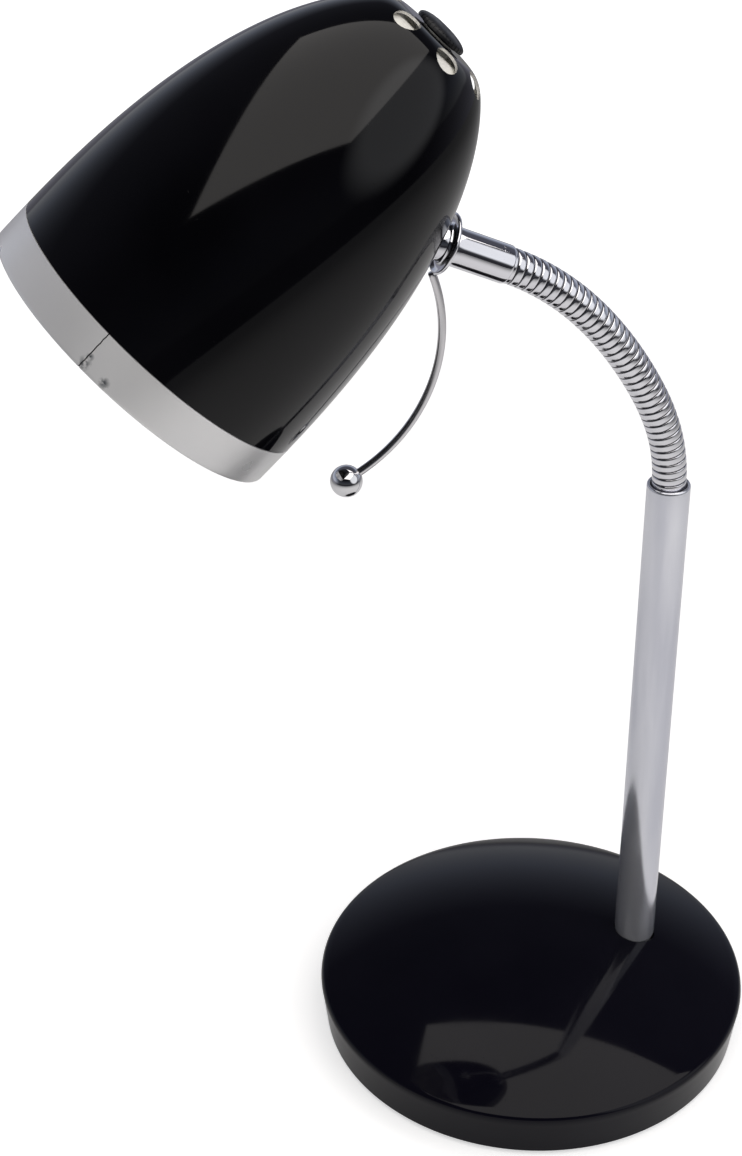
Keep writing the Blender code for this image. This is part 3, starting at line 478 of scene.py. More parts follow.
grommet_outer = (grommet_high.z - grommet_low.z) / 2
bore = 3.2 * MM
neck_wall = 4.8 * MM
inner_face, outer_face = grommet_low.x, grommet_high.x
lip = outer_face - 1.2 * MM
grommet_rings = [
    (bore, inner_face + 0.3 * MM),
    (bore + 0.3 * MM, inner_face),
    (grommet_outer - 0.3 * MM, inner_face),
    (grommet_outer, inner_face + 0.3 * MM),
    (grommet_outer, inner_face + 1.1 * MM),
    (neck_wall, inner_face + 1.2 * MM),
    (neck_wall, lip),
    (grommet_outer - 0.1 * MM, lip),
    (grommet_outer, lip + 0.15 * MM),
    (grommet_outer - 0.15 * MM, lip + 0.5 * MM),
    (grommet_outer - 0.7 * MM, lip + 0.9 * MM),
    (bore + 1.4 * MM, outer_face),
    (bore + 0.5 * MM, outer_face),
    (bore, outer_face - 0.5 * MM),
    (bore, inner_face + 0.3 * MM),
]
cord_grommet = turned("cord_grommet_ring", grommet_rings, sides=64, joined=True)
settle(cord_grommet, cord_way)
smooth(cord_grommet, 50)
black_rubber, nodes, links, shader = finish_of("black_rubber", (0.02, 0.02, 0.021), 0.6)
chalk = grain(nodes, links, 260, 4, 0.0, 1.0, None)
tinted(nodes, links, chalk, (0.014, 0.014, 0.015), (0.04, 0.04, 0.04), shader.inputs["Base Color"])
grain(nodes, links, 700, 3, 0.5, 0.75, shader.inputs["Roughness"])
relief(nodes, links, chalk, 0.15, 0.0001, shader)
cord_grommet.data.materials.append(black_rubber)
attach(cord_grommet, "base")
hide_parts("cord_grommet")


# Upright tube. Chromed steel, 14 mm, with a rounded mouth where the hose enters and a small
# radius at the foot, where it sits on the dome.

STEM_TOP = 213.0 * MM
STEM_BORE = 6.0 * MM
foot = dome_height(STEM_OFFSET) - 0.5 * MM
tube_rings = [
    (STEM_BORE, 20 * MM),
    (6.3 * MM, 20 * MM),
    (6.3 * MM, foot + 0.05 * MM),
    (6.55 * MM, foot),
    (6.78 * MM, foot + 0.12 * MM),
    (6.94 * MM, foot + 0.36 * MM),
    (STEM_RADIUS, foot + 0.8 * MM),
]
plain_run = STEM_TOP - 1.2 * MM - foot
tube_rings += [(STEM_RADIUS, foot + 0.8 * MM + plain_run * k / 24) for k in range(1, 24)]
tube_rings += [
    (STEM_RADIUS, STEM_TOP - 1.0 * MM),
    (6.95 * MM, STEM_TOP - 0.5 * MM),
    (6.75 * MM, STEM_TOP - 0.15 * MM),
    (6.45 * MM, STEM_TOP),
    (6.15 * MM, STEM_TOP - 0.1 * MM),
    (STEM_BORE, STEM_TOP - 0.4 * MM),
    (STEM_BORE, STEM_TOP - 6 * MM),
    (STEM_BORE, 20 * MM),
]
upright_tube = turned("upright_tube", tube_rings, sides=96, joined=True)
settle(upright_tube, Matrix.Translation((STEM_OFFSET, 0, 0)))
smooth(upright_tube, 60)


def chrome_plate(name, colour=(0.80, 0.81, 0.85), low=0.03, high=0.10, wave=0.06):
    """Bright chrome on steel, with the faint waviness and haze of plated tube."""
    material, nodes, links, shader = finish_of(name, colour, 0.06, 1.0)
    haze = grain(nodes, links, 34, 4, 0.0, 1.0, None)
    darker = tuple(value * 0.93 for value in colour)
    tinted(nodes, links, haze, darker, colour, shader.inputs["Base Color"])
    grain(nodes, links, 120, 4, low, high, shader.inputs["Roughness"], contrast=(0.2, 0.8))
    ripple = grain(nodes, links, 60, 1, 0.0, 1.0, None, contrast=(0.0, 1.0))
    relief(nodes, links, ripple, wave, 0.0002, shader)
    return material


tube_chrome, nodes, links, shader = finish_of("tube_chrome", (0.72, 0.73, 0.79), 0.18, 0.82)
streak = grain(nodes, links, 90, 4, 0.0, 1.0, None, stretch=(1, 1, 0.10))
tinted(nodes, links, streak, (0.60, 0.61, 0.68), (0.82, 0.83, 0.88), shader.inputs["Base Color"])
rough = shader.inputs["Roughness"]
grain(nodes, links, 150, 3, 0.09, 0.24, rough, stretch=(1, 1, 0.2), contrast=(0.2, 0.8))
drawn = grain(nodes, links, 240, 2, 0.0, 1.0, None, stretch=(1, 1, 0.06), contrast=(0.1, 0.9))
relief(nodes, links, drawn, 0.03, 0.0001, shader)
upright_tube.data.materials.append(tube_chrome)
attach(upright_tube, "base")
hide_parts("stem_tube")


# Flexible neck. Wound steel hose, 11 mm, in bands of 2.6 mm. It leaves the tube straight up,
# bends forward unevenly and ends in the ferrule. It is cut into lengths, one for each link.

NECK_RADIUS = 5.5 * MM
NECK_LENGTH = 101.5 * MM
NECK_BAND = 2.6 * MM
NECK_GROOVE = 0.6 * MM
NECK_SHADE_DEPTH = 0.13 * MM
NECK_BENDS = (1.70, 1.48, 0.65, 0.88, 1.21, 1.33)  # radians per neck's length, at even stations

neck_points = []
heading = 0.0
place = Vector((STEM_OFFSET, 0, STEM_TOP))
STEPS = 400
for k in range(STEPS + 1):
    neck_points.append((place.copy(), heading))
    share = k / STEPS * (len(NECK_BENDS) - 1)
    first = min(int(share), len(NECK_BENDS) - 2)
    rate = NECK_BENDS[first] + (NECK_BENDS[first + 1] - NECK_BENDS[first]) * (share - first)
    heading += rate / STEPS
    place = place + Vector((-math.sin(heading), 0, math.cos(heading))) * (NECK_LENGTH / STEPS)


def neck_at(run):
    """Point and direction on the neck's middle line, at a distance from the tube's mouth."""
    if run <= 0:
        return Vector((STEM_OFFSET, 0, STEM_TOP + run)), Vector((0, 0, 1))
    k = min(int(round(run / NECK_LENGTH * STEPS)), STEPS)
    point, turn = neck_points[k]
    way = Vector((-math.sin(turn), 0, math.cos(turn)))
    return point + way * max(run - NECK_LENGTH, 0), way


def guide_through(name, points):
    """A line through points, for a straight piece to be bent along."""
    line_data = bpy.data.curves.new(name, "CURVE")
    line_data.dimensions = "3D"
    line_data.twist_mode = "MINIMUM"
    line = line_data.splines.new("POLY")
    line.points.add(len(points) - 1)
    for point, spot in zip(line.points, points):
        point.co = (*spot, 1)
    guide = bpy.data.objects.new(name, line_data)
    bpy.context.collection.objects.link(guide)
    return guide


def bent(piece, guide):
    """Bends a piece that stands on Z along a guide line."""
    bend = piece.modifiers.new("bend", "CURVE")
    bend.object = guide
    bend.deform_axis = "POS_Z"
    apply_all(piece)


overrun = 8 * MM
guide_runs = [-overrun + (NECK_LENGTH + 2 * overrun) * k / 160 for k in range(161)]
neck_guide = guide_through("neck_line", [neck_at(run)[0] for run in guide_runs])

bpy.ops.object.select_all(action="DESELECT")
bpy.ops.mesh.primitive_circle_add(
    vertices=24, radius=NECK_BAND / 2, rotation=(math.radians(90), 0, 0)
)
hose = bpy.context.object
bpy.ops.object.transform_apply(location=True, rotation=True, scale=True)
bpy.ops.object.mode_set(mode="EDIT")
bpy.ops.mesh.select_all(action="DESELECT")
bpy.ops.object.mode_set(mode="OBJECT")
for vertex in hose.data.vertices:
    vertex.select = vertex.co.x < -0.01 * MM
bpy.ops.object.mode_set(mode="EDIT")
bpy.ops.mesh.delete(type="VERT")
bpy.ops.object.mode_set(mode="OBJECT")
for vertex in hose.data.vertices:
    share = min(abs(vertex.co.z) / (NECK_BAND / 2), 1.0)
    crown = math.sqrt(1 - share**6) - 0.06 * share**2
    vertex.co.x = NECK_RADIUS - NECK_GROOVE * (1 - max(crown, 0.0))
turns = int((NECK_LENGTH + 2 * overrun) / NECK_BAND) + 3
winding = hose.modifiers.new("winding", "SCREW")
winding.axis = "Z"
winding.steps = 56
winding.render_steps = 56
winding.iterations = turns
winding.screw_offset = NECK_BAND
winding.use_merge_vertices = False
apply_all(hose)
bpy.ops.object.mode_set(mode="EDIT")
bpy.ops.mesh.select_all(action="SELECT")
bpy.ops.mesh.remove_doubles(threshold=0.01 * MM)
bpy.ops.mesh.select_all(action="SELECT")
bpy.ops.mesh.normals_make_consistent(inside=False)
bpy.ops.transform.translate(value=(0, 0, -NECK_BAND))
bpy.ops.object.mode_set(mode="OBJECT")

hose_chrome = chrome_plate("hose_chrome", (0.82, 0.82, 0.86), 0.08, 0.17, 0.05)
# The grooves between the bands take a near-black material: painted shade in the grooves.
hose_groove_shade, nodes, links, shader = finish_of("hose_groove_shade", (0.03, 0.03, 0.035), 0.45, 0.4)
groove_shade_grain = grain(nodes, links, 300, 3, 0.0, 1.0, None)
tinted(nodes, links, groove_shade_grain, (0.015, 0.015, 0.02), (0.06, 0.06, 0.07), shader.inputs["Base Color"])
hose.data.materials.append(hose_chrome)
hose.data.materials.append(hose_groove_shade)
for face in hose.data.polygons:
    around = math.hypot(face.center.x, face.center.y)
    face.material_index = 1 if around < NECK_RADIUS - NECK_SHADE_DEPTH else 0
LINKS = 7
SUNK_END = 4.5 * MM
link_run = NECK_LENGTH / LINKS
first_joint = link_run / 2 - 5.0 * MM
cuts = [first_joint + link_run * (k + 0.5) for k in range(LINKS - 1)]
cuts = [-SUNK_END] + cuts + [NECK_LENGTH + SUNK_END]
stands_for = [["neck_root"]] + [[f"neck_link_{k}"] for k in range(1, LINKS)]
stands_for[-1].append("neck_tip")
for k in range(LINKS):
    low, high = cuts[k], cuts[k + 1]
    bpy.ops.object.select_all(action="DESELECT")
    hose.select_set(True)
    bpy.context.view_layer.objects.active = hose
    bpy.ops.object.duplicate()
    length = bpy.context.object
    length.name = f"hose_length_{k + 1}"
    bpy.ops.object.mode_set(mode="EDIT")
    for height, keep_above in ((low, True), (high, False)):
        bpy.ops.mesh.select_all(action="SELECT")
        bpy.ops.mesh.bisect(
            plane_co=(0, 0, height + overrun),
            plane_no=(0, 0, 1),
            use_fill=True,
            clear_inner=keep_above,
            clear_outer=not keep_above,
        )
    bpy.ops.mesh.select_all(action="SELECT")
    bpy.ops.mesh.normals_make_consistent(inside=False)
    bpy.ops.object.mode_set(mode="OBJECT")
    bent(length, neck_guide)
    smooth(length, 50)
    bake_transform(length)
    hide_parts(*stands_for[k])
bpy.data.objects.remove(hose, do_unlink=True)
bpy.data.objects.remove(neck_guide, do_unlink=True)


# Ferrule. A chromed sleeve pressed on the hose's end, with softened edges and two small punch
# marks on top that lock it.

mouth_point, ferrule_way = neck_at(NECK_LENGTH)
across = Vector((0, 1, 0))
upward = across.cross(ferrule_way)


def placed(point, side, front, top):
    """The place of a piece made on Z: its own three directions, and where it stands."""
    return Matrix.Translation(point) @ Matrix((side, front, top)).transposed().to_4x4()


head_place = placed(mouth_point, upward, across, ferrule_way)
FERRULE_RADIUS = 5.9 * MM
FERRULE_LENGTH = 19.7 * MM
sleeve_rings = [
    (5.1 * MM, 0.9 * MM),
    (5.25 * MM, 0.45 * MM),
    (5.5 * MM, 0.3 * MM),
    (5.72 * MM, 0.42 * MM),
    (5.86 * MM, 0.75 * MM),
    (FERRULE_RADIUS, 1.2 * MM),
]
sleeve_rings += [(FERRULE_RADIUS, (1.2 + 17.6 * k / 10) * MM) for k in range(1, 11)]
sleeve_rings += [
    (5.84 * MM, 19.25 * MM),
    (5.7 * MM, 19.55 * MM),
    (5.5 * MM, FERRULE_LENGTH),
    (4.4 * MM, FERRULE_LENGTH),
    (4.4 * MM, 8.0 * MM),
    (5.1 * MM, 7.5 * MM),
    (5.1 * MM, 0.9 * MM),
]
ferrule = turned("ferrule_sleeve", sleeve_rings, sides=96, joined=True)
for turn in (-6, 8):
    punch = turned("punch", [(0.1 * MM, -0.4 * MM), (0.36 * MM, 0), (0.5 * MM, 1 * MM)], sides=16)
    lift, out = Matrix.Translation((0, 0, 4.2 * MM)), Matrix.Translation((0, 0, FERRULE_RADIUS))
    side = Matrix.Rotation(math.radians(turn - 28), 4, "Z")
    settle(punch, lift @ side @ Matrix.Rotation(math.radians(90), 4, "Y") @ out)
    bored(ferrule, punch)
settle(ferrule, head_place)
smooth(ferrule, 45)
sleeve_chrome = chrome_plate("sleeve_chrome", (0.82, 0.82, 0.86), 0.03, 0.09, 0.05)
ferrule.data.materials.append(sleeve_chrome)
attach(ferrule, "head")
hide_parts("neck_ferrule")


# Collar. A thin dished chrome washer with a rolled edge between the ferrule and the shade, on a
# short hub. The wire handle is brazed to its lower edge.

COLLAR_RADIUS = 9.4 * MM
SHADE_FACE = FERRULE_LENGTH + 6.2 * MM
collar_low = FERRULE_LENGTH + 0.3 * MM
dish_rings = [
    (4.4 * MM, collar_low),
    (5.0 * MM, collar_low),
    (7.6 * MM, collar_low + 0.05 * MM),
    (8.7 * MM, collar_low + 0.2 * MM),
    (9.15 * MM, collar_low + 0.4 * MM),
    (COLLAR_RADIUS, collar_low + 0.8 * MM),
    (9.38 * MM, collar_low + 1.15 * MM),
    (9.2 * MM, collar_low + 1.45 * MM),
    (8.9 * MM, collar_low + 1.55 * MM),
    (8.6 * MM, collar_low + 1.4 * MM),
    (8.0 * MM, collar_low + 1.0 * MM),
    (7.0 * MM, collar_low + 0.8 * MM),
    (6.1 * MM, collar_low + 0.9 * MM),
    (5.7 * MM, collar_low + 1.3 * MM),
    (5.6 * MM, collar_low + 2.0 * MM),
    (5.6 * MM, SHADE_FACE - 0.9 * MM),
    (5.4 * MM, SHADE_FACE - 0.6 * MM),
    (4.4 * MM, SHADE_FACE - 0.6 * MM),
    (4.4 * MM, collar_low),
]
collar = turned("dished_collar", dish_rings, sides=128, joined=True)
settle(collar, head_place)
smooth(collar, 55)
collar_chrome = chrome_plate("collar_chrome", (0.80, 0.80, 0.84), 0.03, 0.08, 0.04)
collar.data.materials.append(collar_chrome)
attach(collar, "head")
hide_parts("handle_collar")


# Wire handle and ball. Bright 2.5 mm steel wire leaves the collar downwards, curves in under the
# shade and ends in a chromed ball, which is drilled and pressed on.

HANDLE_RADIUS = 1.25 * MM
HANDLE_LEAN = 19.0
HANDLE_BEND_RADIUS = 53.0 * MM
HANDLE_BEND = 76.0
BALL_RADIUS = 5.0 * MM
collar_edge = mouth_point + ferrule_way * (collar_low + 1.15 * MM) - upward * COLLAR_RADIUS
lean = math.radians(HANDLE_LEAN)
way = Vector((math.sin(lean), 0, -math.cos(lean)))
wire_start = collar_edge + way * 0.2 * MM
bend_start = collar_edge + way * 1.9 * MM
inward = Vector((way.z, 0, -way.x))
bend_centre = bend_start + inward * HANDLE_BEND_RADIUS
wire_points = [wire_start, collar_edge + way * 1.0 * MM, bend_start]
for k in range(1, 49):
    turn = math.radians(HANDLE_BEND) * k / 48
    spoke = way * math.sin(turn) - inward * math.cos(turn)
    wire_points.append(bend_centre + spoke * HANDLE_BEND_RADIUS)
turn = math.radians(HANDLE_BEND)
tail_way = way * math.cos(turn) + inward * math.sin(turn)
ball_middle = wire_points[-1] + tail_way * 6.0 * MM
wire_points.append(ball_middle - tail_way * 2.2 * MM)
wire_length = sum((b - a).length for a, b in zip(wire_points, wire_points[1:]))
wire_guide = guide_through("wire_line", wire_points)
wire_rings = [(0.9 * MM, 0), (1.15 * MM, 0.12 * MM), (HANDLE_RADIUS, 0.4 * MM)]
wire_rings += [(HANDLE_RADIUS, 0.4 * MM + (wire_length - 0.5 * MM) * k / 90) for k in range(1, 91)]
wire_rings += [(1.1 * MM, wire_length)]
handle_wire = turned("handle_wire", wire_rings, sides=32)
bent(handle_wire, wire_guide)
bpy.data.objects.remove(wire_guide, do_unlink=True)
smooth(handle_wire, 60)
wire_chrome = chrome_plate("wire_chrome", (0.72, 0.71, 0.73), 0.10, 0.22, 0.12)
handle_wire.data.materials.append(wire_chrome)
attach(handle_wire, "head")
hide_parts("handle_rod")

ball_rings = [(1.3 * MM, 2.6 * MM), (1.3 * MM, 4.55 * MM), (1.45 * MM, 4.72 * MM)]
for k in range(41):
    turn = math.radians(19 + 158 * k / 40)
    ball_rings.append((BALL_RADIUS * math.sin(turn), BALL_RADIUS * math.cos(turn)))
handle_ball = turned("handle_ball_bead", ball_rings, sides=96)
ball_out = -tail_way
ball_side = across.cross(ball_out)
settle(handle_ball, placed(ball_middle, ball_side, across, ball_out))
smooth(handle_ball, 50)
ball_chrome = chrome_plate("ball_chrome", (0.78, 0.78, 0.80), 0.015, 0.05, 0.01)
handle_ball.data.materials.append(ball_chrome)
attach(handle_ball, "head")
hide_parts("handle_ball")


# Shade. A spun steel bullet, 101 mm across the mouth, black gloss enamel outside and white
# inside. Seven vents ring the crown, and their cut edges show bare metal.

SHADE_RADIUS = 50.6 * MM
SHADE_LENGTH = 124.8 * MM
SHADE_NOSE = 5.5 * MM
SHADE_CURVE = 2.4
SHADE_WALL = 0.8 * MM
CROWN_FLAT = 12.0 * MM
CROWN_DROP = 3.5 * MM
BAND_WIDTH = 12.4 * MM
VENT_COUNT = 7
VENT_RADIUS = 4.0 * MM
VENT_CIRCLE = 17.2 * MM
VENT_START = -143.0
KNOB_JOINT_HEIGHT = 4.8 * MM
crown_axis = Vector(joints["knob_turn"]["axis"])
crown_point = Vector(joints["knob_turn"]["pos_m"]) - crown_axis * KNOB_JOINT_HEIGHT
neck_side = Vector((crown_axis.z, 0, -crown_axis.x))
shade_place = placed(crown_point, neck_side, across, crown_axis)


def shade_radius(depth):
    """Outer radius of the shade's side at a depth below the crown."""
    share = (SHADE_LENGTH - depth) / (SHADE_LENGTH + SHADE_NOSE)
    return SHADE_RADIUS * math.sqrt(1 - share**SHADE_CURVE)


band_top = SHADE_LENGTH - BAND_WIDTH
slope_step = 0.1 * MM
slope = (shade_radius(CROWN_DROP + slope_step) - shade_radius(CROWN_DROP)) / slope_step
corner = shade_radius(CROWN_DROP) - slope * CROWN_DROP
shell_rings = [(5.3 * MM, 0), (8.5 * MM, 0)]
side_top = shade_radius(CROWN_DROP)
for k in range(15):
    share = k / 14
    radius = (1 - share) ** 2 * CROWN_FLAT + 2 * share * (1 - share) * corner + share**2 * side_top
    shell_rings.append((radius, -(share**2) * CROWN_DROP))
for k in range(1, 61):
    depth = CROWN_DROP + (band_top - 0.25 * MM - CROWN_DROP) * (k / 60) ** 1.25
    shell_rings.append((shade_radius(depth), -depth))
lap = shade_radius(band_top) - 1.3 * MM
shell_rings += [
    (shade_radius(band_top) - 0.25 * MM, -band_top + 0.05 * MM),
    (lap, -band_top),
    (lap, -band_top - 6.5 * MM),
]
shade_shell = turned("shade_shell", shell_rings, sides=224)
bpy.ops.object.mode_set(mode="EDIT")
bpy.ops.mesh.select_mode(type="FACE")
bpy.ops.mesh.select_all(action="DESELECT")
bpy.ops.object.mode_set(mode="OBJECT")
for face in shade_shell.data.polygons:
    face.select = len(face.vertices) > 4
bpy.ops.object.mode_set(mode="EDIT")
bpy.ops.mesh.delete(type="FACE")
bpy.ops.mesh.select_mode(type="VERT")
bpy.ops.object.mode_set(mode="OBJECT")
shade_black = ((0.0012, 0.0012, 0.0018), (0.0022, 0.0021, 0.0030))
shade_enamel = gloss_enamel("shade_enamel", *shade_black, 1.33)
white_enamel, nodes, links, shader = finish_of("white_enamel", (0.82, 0.81, 0.77), 0.35, 0.0, 0.1)
warmth = grain(nodes, links, 26, 4, 0.0, 1.0, None)
tinted(nodes, links, warmth, (0.80, 0.78, 0.72), (0.86, 0.85, 0.81), shader.inputs["Base Color"])
grain(nodes, links, 140, 4, 0.28, 0.45, shader.inputs["Roughness"])
bare_edge, nodes, links, shader = finish_of("bare_edge", (0.72, 0.72, 0.71), 0.35, 0.8)
nicks = grain(nodes, links, 600, 3, 0.0, 1.0, None)
tinted(nodes, links, nicks, (0.62, 0.61, 0.60), (0.85, 0.84, 0.82), shader.inputs["Base Color"])
for material in (shade_enamel, white_enamel, bare_edge):
    shade_shell.data.materials.append(material)
wall = shade_shell.modifiers.new("wall", "SOLIDIFY")
wall.thickness = SHADE_WALL
wall.offset = -1
wall.material_offset = 1
wall.material_offset_rim = 2
apply_all(shade_shell)
vent_slope = math.atan2(CROWN_DROP, shade_radius(CROWN_DROP) - CROWN_FLAT)
drill_set = []
for k in range(VENT_COUNT):
    drill = turned("vent_drill", [(VENT_RADIUS, -4 * MM), (VENT_RADIUS, 4 * MM)], sides=64)
    drill.data.materials.append(bare_edge)
    spin_to = Matrix.Rotation(math.radians(VENT_START) + math.tau * k / VENT_COUNT, 4, "Z")
    out = Matrix.Translation((VENT_CIRCLE, 0, -CROWN_DROP / 2))
    settle(drill, spin_to @ out @ Matrix.Rotation(vent_slope, 4, "Y"))
    drill_set.append(drill)
neck_drill = turned("neck_drill", [(4.4 * MM, -6 * MM), (4.4 * MM, 8 * MM)], sides=48)
neck_drill.data.materials.append(bare_edge)
settle(neck_drill, shade_place.inverted() @ head_place @ Matrix.Translation((0, 0, SHADE_FACE)))
drill_set.append(neck_drill)
for drill in drill_set:
    bored(shade_shell, drill, lined=True)
settle(shade_shell, shade_place)
smooth(shade_shell, 30)
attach(shade_shell, "head")
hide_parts("shade")


# Rim band. A strip of bright metal rolled into a ring, seated over the shade's lap and flush with
# its side. Its ends meet in a butt seam, and its free edge is turned in.

BAND_CURL = 0.55 * MM
SEAM_TURN = -122.6
SEAM_GAP = 0.34 * MM
band_bore = shade_radius(band_top) - 1.0 * MM
band_rings = [
    (band_bore, -band_top - 0.1 * MM),
    (shade_radius(band_top) - 0.15 * MM, -band_top - 0.02 * MM),
]
for k in range(15):
    depth = band_top + 0.12 * MM + (BAND_WIDTH - 0.9 * MM) * k / 14
    band_rings.append((shade_radius(depth), -depth))
mouth = SHADE_RADIUS
for k in range(1, 9):
    turn = math.radians(180 * k / 8)
    height = -(SHADE_LENGTH - 0.6 * MM) - BAND_CURL * math.sin(turn)
    band_rings.append((mouth - BAND_CURL * (1 - math.cos(turn)), height))
band_rings += [
    (mouth - 1.1 * MM, -(SHADE_LENGTH - 1.4 * MM)),
    (band_bore, -(SHADE_LENGTH - 2.2 * MM)),
    (band_bore, -band_top - 0.1 * MM),
]
rim_ring = turned("rim_ring", band_rings, sides=256, joined=True)
bpy.ops.object.select_all(action="DESELECT")
bpy.ops.mesh.primitive_cube_add(size=1)
slit = bpy.context.object
slit.scale = (2.2 * MM, SEAM_GAP, 13.4 * MM)
slit.location = (mouth + 0.3 * MM, 0, -(band_top + BAND_WIDTH / 2 + 0.2 * MM))
bpy.ops.object.transform_apply(location=True, rotation=True, scale=True)
bpy.ops.object.mode_set(mode="EDIT")
bpy.ops.mesh.select_all(action="SELECT")
bpy.ops.mesh.subdivide(number_cuts=10)
bpy.ops.object.mode_set(mode="OBJECT")
for vertex in slit.data.vertices:
    down = vertex.co.z / MM
    vertex.co.y += 0.07 * MM * math.sin(down * 2.1) + 0.05 * MM * math.sin(down * 5.3)
settle(slit, Matrix.Rotation(math.radians(SEAM_TURN), 4, "Z"))
band_metal, nodes, links, shader = finish_of("band_metal", (0.84, 0.83, 0.82), 0.36, 0.5)
soft_patch = grain(nodes, links, 18, 2, 0.0, 1.0, None, contrast=(0.2, 0.8))
band_colour = shader.inputs["Base Color"]
tinted(nodes, links, soft_patch, (0.70, 0.70, 0.71), (0.82, 0.81, 0.80), band_colour)
grain(nodes, links, 45, 3, 0.24, 0.40, shader.inputs["Roughness"], contrast=(0.2, 0.8))
roll = grain(nodes, links, 60, 1, 0.0, 1.0, None, contrast=(0.0, 1.0))
relief(nodes, links, roll, 0.05, 0.0002, shader)
# Dark marks painted beside the seam: turn round the rim, rise above the mouth's edge, and reach.
SEAM_DARK_MARKS = (
    (-121.9, 2.0 * MM, 2.3 * MM),
    (-121.9, 4.4 * MM, 1.3 * MM),
    (-113.6, 1.9 * MM, 1.9 * MM),
)
seam_mark_grain = grain(nodes, links, 700, 4, 0.0, 1.0, None, contrast=(0.38, 0.56))
for turn, rise, reach in SEAM_DARK_MARKS:
    round_to = Matrix.Rotation(math.radians(turn), 4, "Z")
    away = worked(nodes, "DISTANCE", "ShaderNodeVectorMath")
    away.inputs[1].default_value = shade_place @ round_to @ Vector((mouth, 0, rise - SHADE_LENGTH))
    fade = mapped(nodes, (0.0, reach), (1.1, 0.0))
    amount = worked(nodes, "MULTIPLY")
    amount.use_clamp = True
    links.new(nodes.new("ShaderNodeTexCoord").outputs["Object"], away.inputs[0])
    links.new(away.outputs["Value"], fade.inputs["Value"])
    links.new(fade.outputs[0], amount.inputs[0])
    links.new(seam_mark_grain, amount.inputs[1])
    marked = nodes.new("ShaderNodeMix")
    marked.data_type = "RGBA"
    links.new(band_colour.links[0].from_socket, marked.inputs["A"])
    marked.inputs["B"].default_value = (0.035, 0.045, 0.055, 1)
    links.new(amount.outputs[0], marked.inputs["Factor"])
    links.new(marked.outputs["Result"], band_colour)
# The seam's cut walls are near black: painted shade in the narrow gap.
seam_gap_shade, nodes, links, shader = finish_of("seam_gap_shade", (0.02, 0.02, 0.02), 0.6)
seam_shade_grain = grain(nodes, links, 500, 3, 0.0, 1.0, None)
tinted(nodes, links, seam_shade_grain, (0.008, 0.008, 0.008), (0.05, 0.048, 0.045), shader.inputs["Base Color"])
rim_ring.data.materials.append(band_metal)
rim_ring.data.materials.append(seam_gap_shade)
slit.data.materials.append(seam_gap_shade)
bored(rim_ring, slit, lined=True)
settle(rim_ring, shade_place)
smooth(rim_ring, 40)
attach(rim_ring, "head")
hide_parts("rim_band")


# Heat shield and lampholder. A white pressed disc hangs close under the crown, clamped by the
# white moulded lampholder, which has a ribbed skirt and a screw-on ring for small shades.



def in_mm(*rings):
    """Rings given in millimetres, in metres."""
    return [(radius * MM, height * MM) for radius, height in rings]


shield_rings = in_mm(
    (5.4, -5.1), (9.0, -5.1), (10.3, -3.6), (11.6, -2.3), (15.0, -2.5), (18.0, -3.7),
    (20.2, -5.6), (20.8, -6.5), (20.9, -7.1), (20.5, -7.3), (19.8, -6.3), (17.6, -4.4),
    (15.0, -3.3), (12.2, -3.1), (11.0, -4.3), (9.4, -6.0), (5.4, -6.0), (5.4, -5.1),
)
shield = turned("vent_shield", shield_rings, sides=96, joined=True)
settle(shield, shade_place)
smooth(shield, 50)
shield.data.materials.append(white_enamel)
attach(shield, "head")
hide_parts("heat_shield")

moulded_white, nodes, links, shader = finish_of("moulded_white", (0.78, 0.77, 0.72), 0.45)
milk = grain(nodes, links, 40, 3, 0.0, 1.0, None)
tinted(nodes, links, milk, (0.74, 0.73, 0.67), (0.82, 0.81, 0.77), shader.inputs["Base Color"])
spark = grain(nodes, links, 900, 2, 0.0, 1.0, None)
relief(nodes, links, spark, 0.25, 0.00006, shader)
holder_rings = in_mm(
    (2.4, 1.25), (4.8, 1.25), (5.0, 1.05), (5.0, -6.3),
    (8.8, -6.3), (9.3, -6.6), (13.5, -9.6), (14.0, -10.3),
)
for k in range(12):
    top = 14.0 + 2.4 * k
    holder_rings += in_mm(
        (14.0, -top), (14.0, -(top + 1.5)), (13.7, -(top + 1.7)), (13.7, -(top + 2.2))
    )
holder_rings += in_mm(
    (14.0, -43.2), (14.0, -53.6), (13.6, -54.0), (12.1, -54.0), (11.8, -53.6), (11.8, -29.0),
    (8.3, -28.8), (8.3, -22.8), (2.4, -22.8), (2.4, 1.25),
)
holder = turned("lampholder_body", holder_rings, sides=96, joined=True)
settle(holder, shade_place)
smooth(holder, 35)
holder.data.materials.append(moulded_white)
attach(holder, "head")
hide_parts("holder_body")

ring_rings = in_mm(
    (14.3, -44.1), (15.9, -44.0), (16.5, -44.2), (17.7, -45.3), (18.0, -45.8), (18.0, -49.6),
    (17.7, -50.0), (14.6, -50.0), (14.3, -49.8), (14.3, -44.1),
)
holder_ring = turned("lampholder_ring", ring_rings, sides=96, joined=True)


def grooved(piece, beyond, above, pitch, width, edge, depth):
    """Sinks upright grooves round a piece, where it is wider than beyond and higher than above."""
    bpy.ops.object.mode_set(mode="EDIT")
    bpy.ops.mesh.select_mode(type="FACE")
    bpy.ops.mesh.select_all(action="DESELECT")
    bpy.ops.object.mode_set(mode="OBJECT")
    for face in piece.data.polygons:
        x, y, z = face.center
        on_side = math.hypot(x, y) > beyond and z > above
        face.select = on_side and math.degrees(math.atan2(y, x)) % pitch < width
    bpy.ops.object.mode_set(mode="EDIT")
    bpy.ops.mesh.inset(thickness=edge, depth=-depth)
    bpy.ops.mesh.select_mode(type="VERT")
    bpy.ops.object.mode_set(mode="OBJECT")


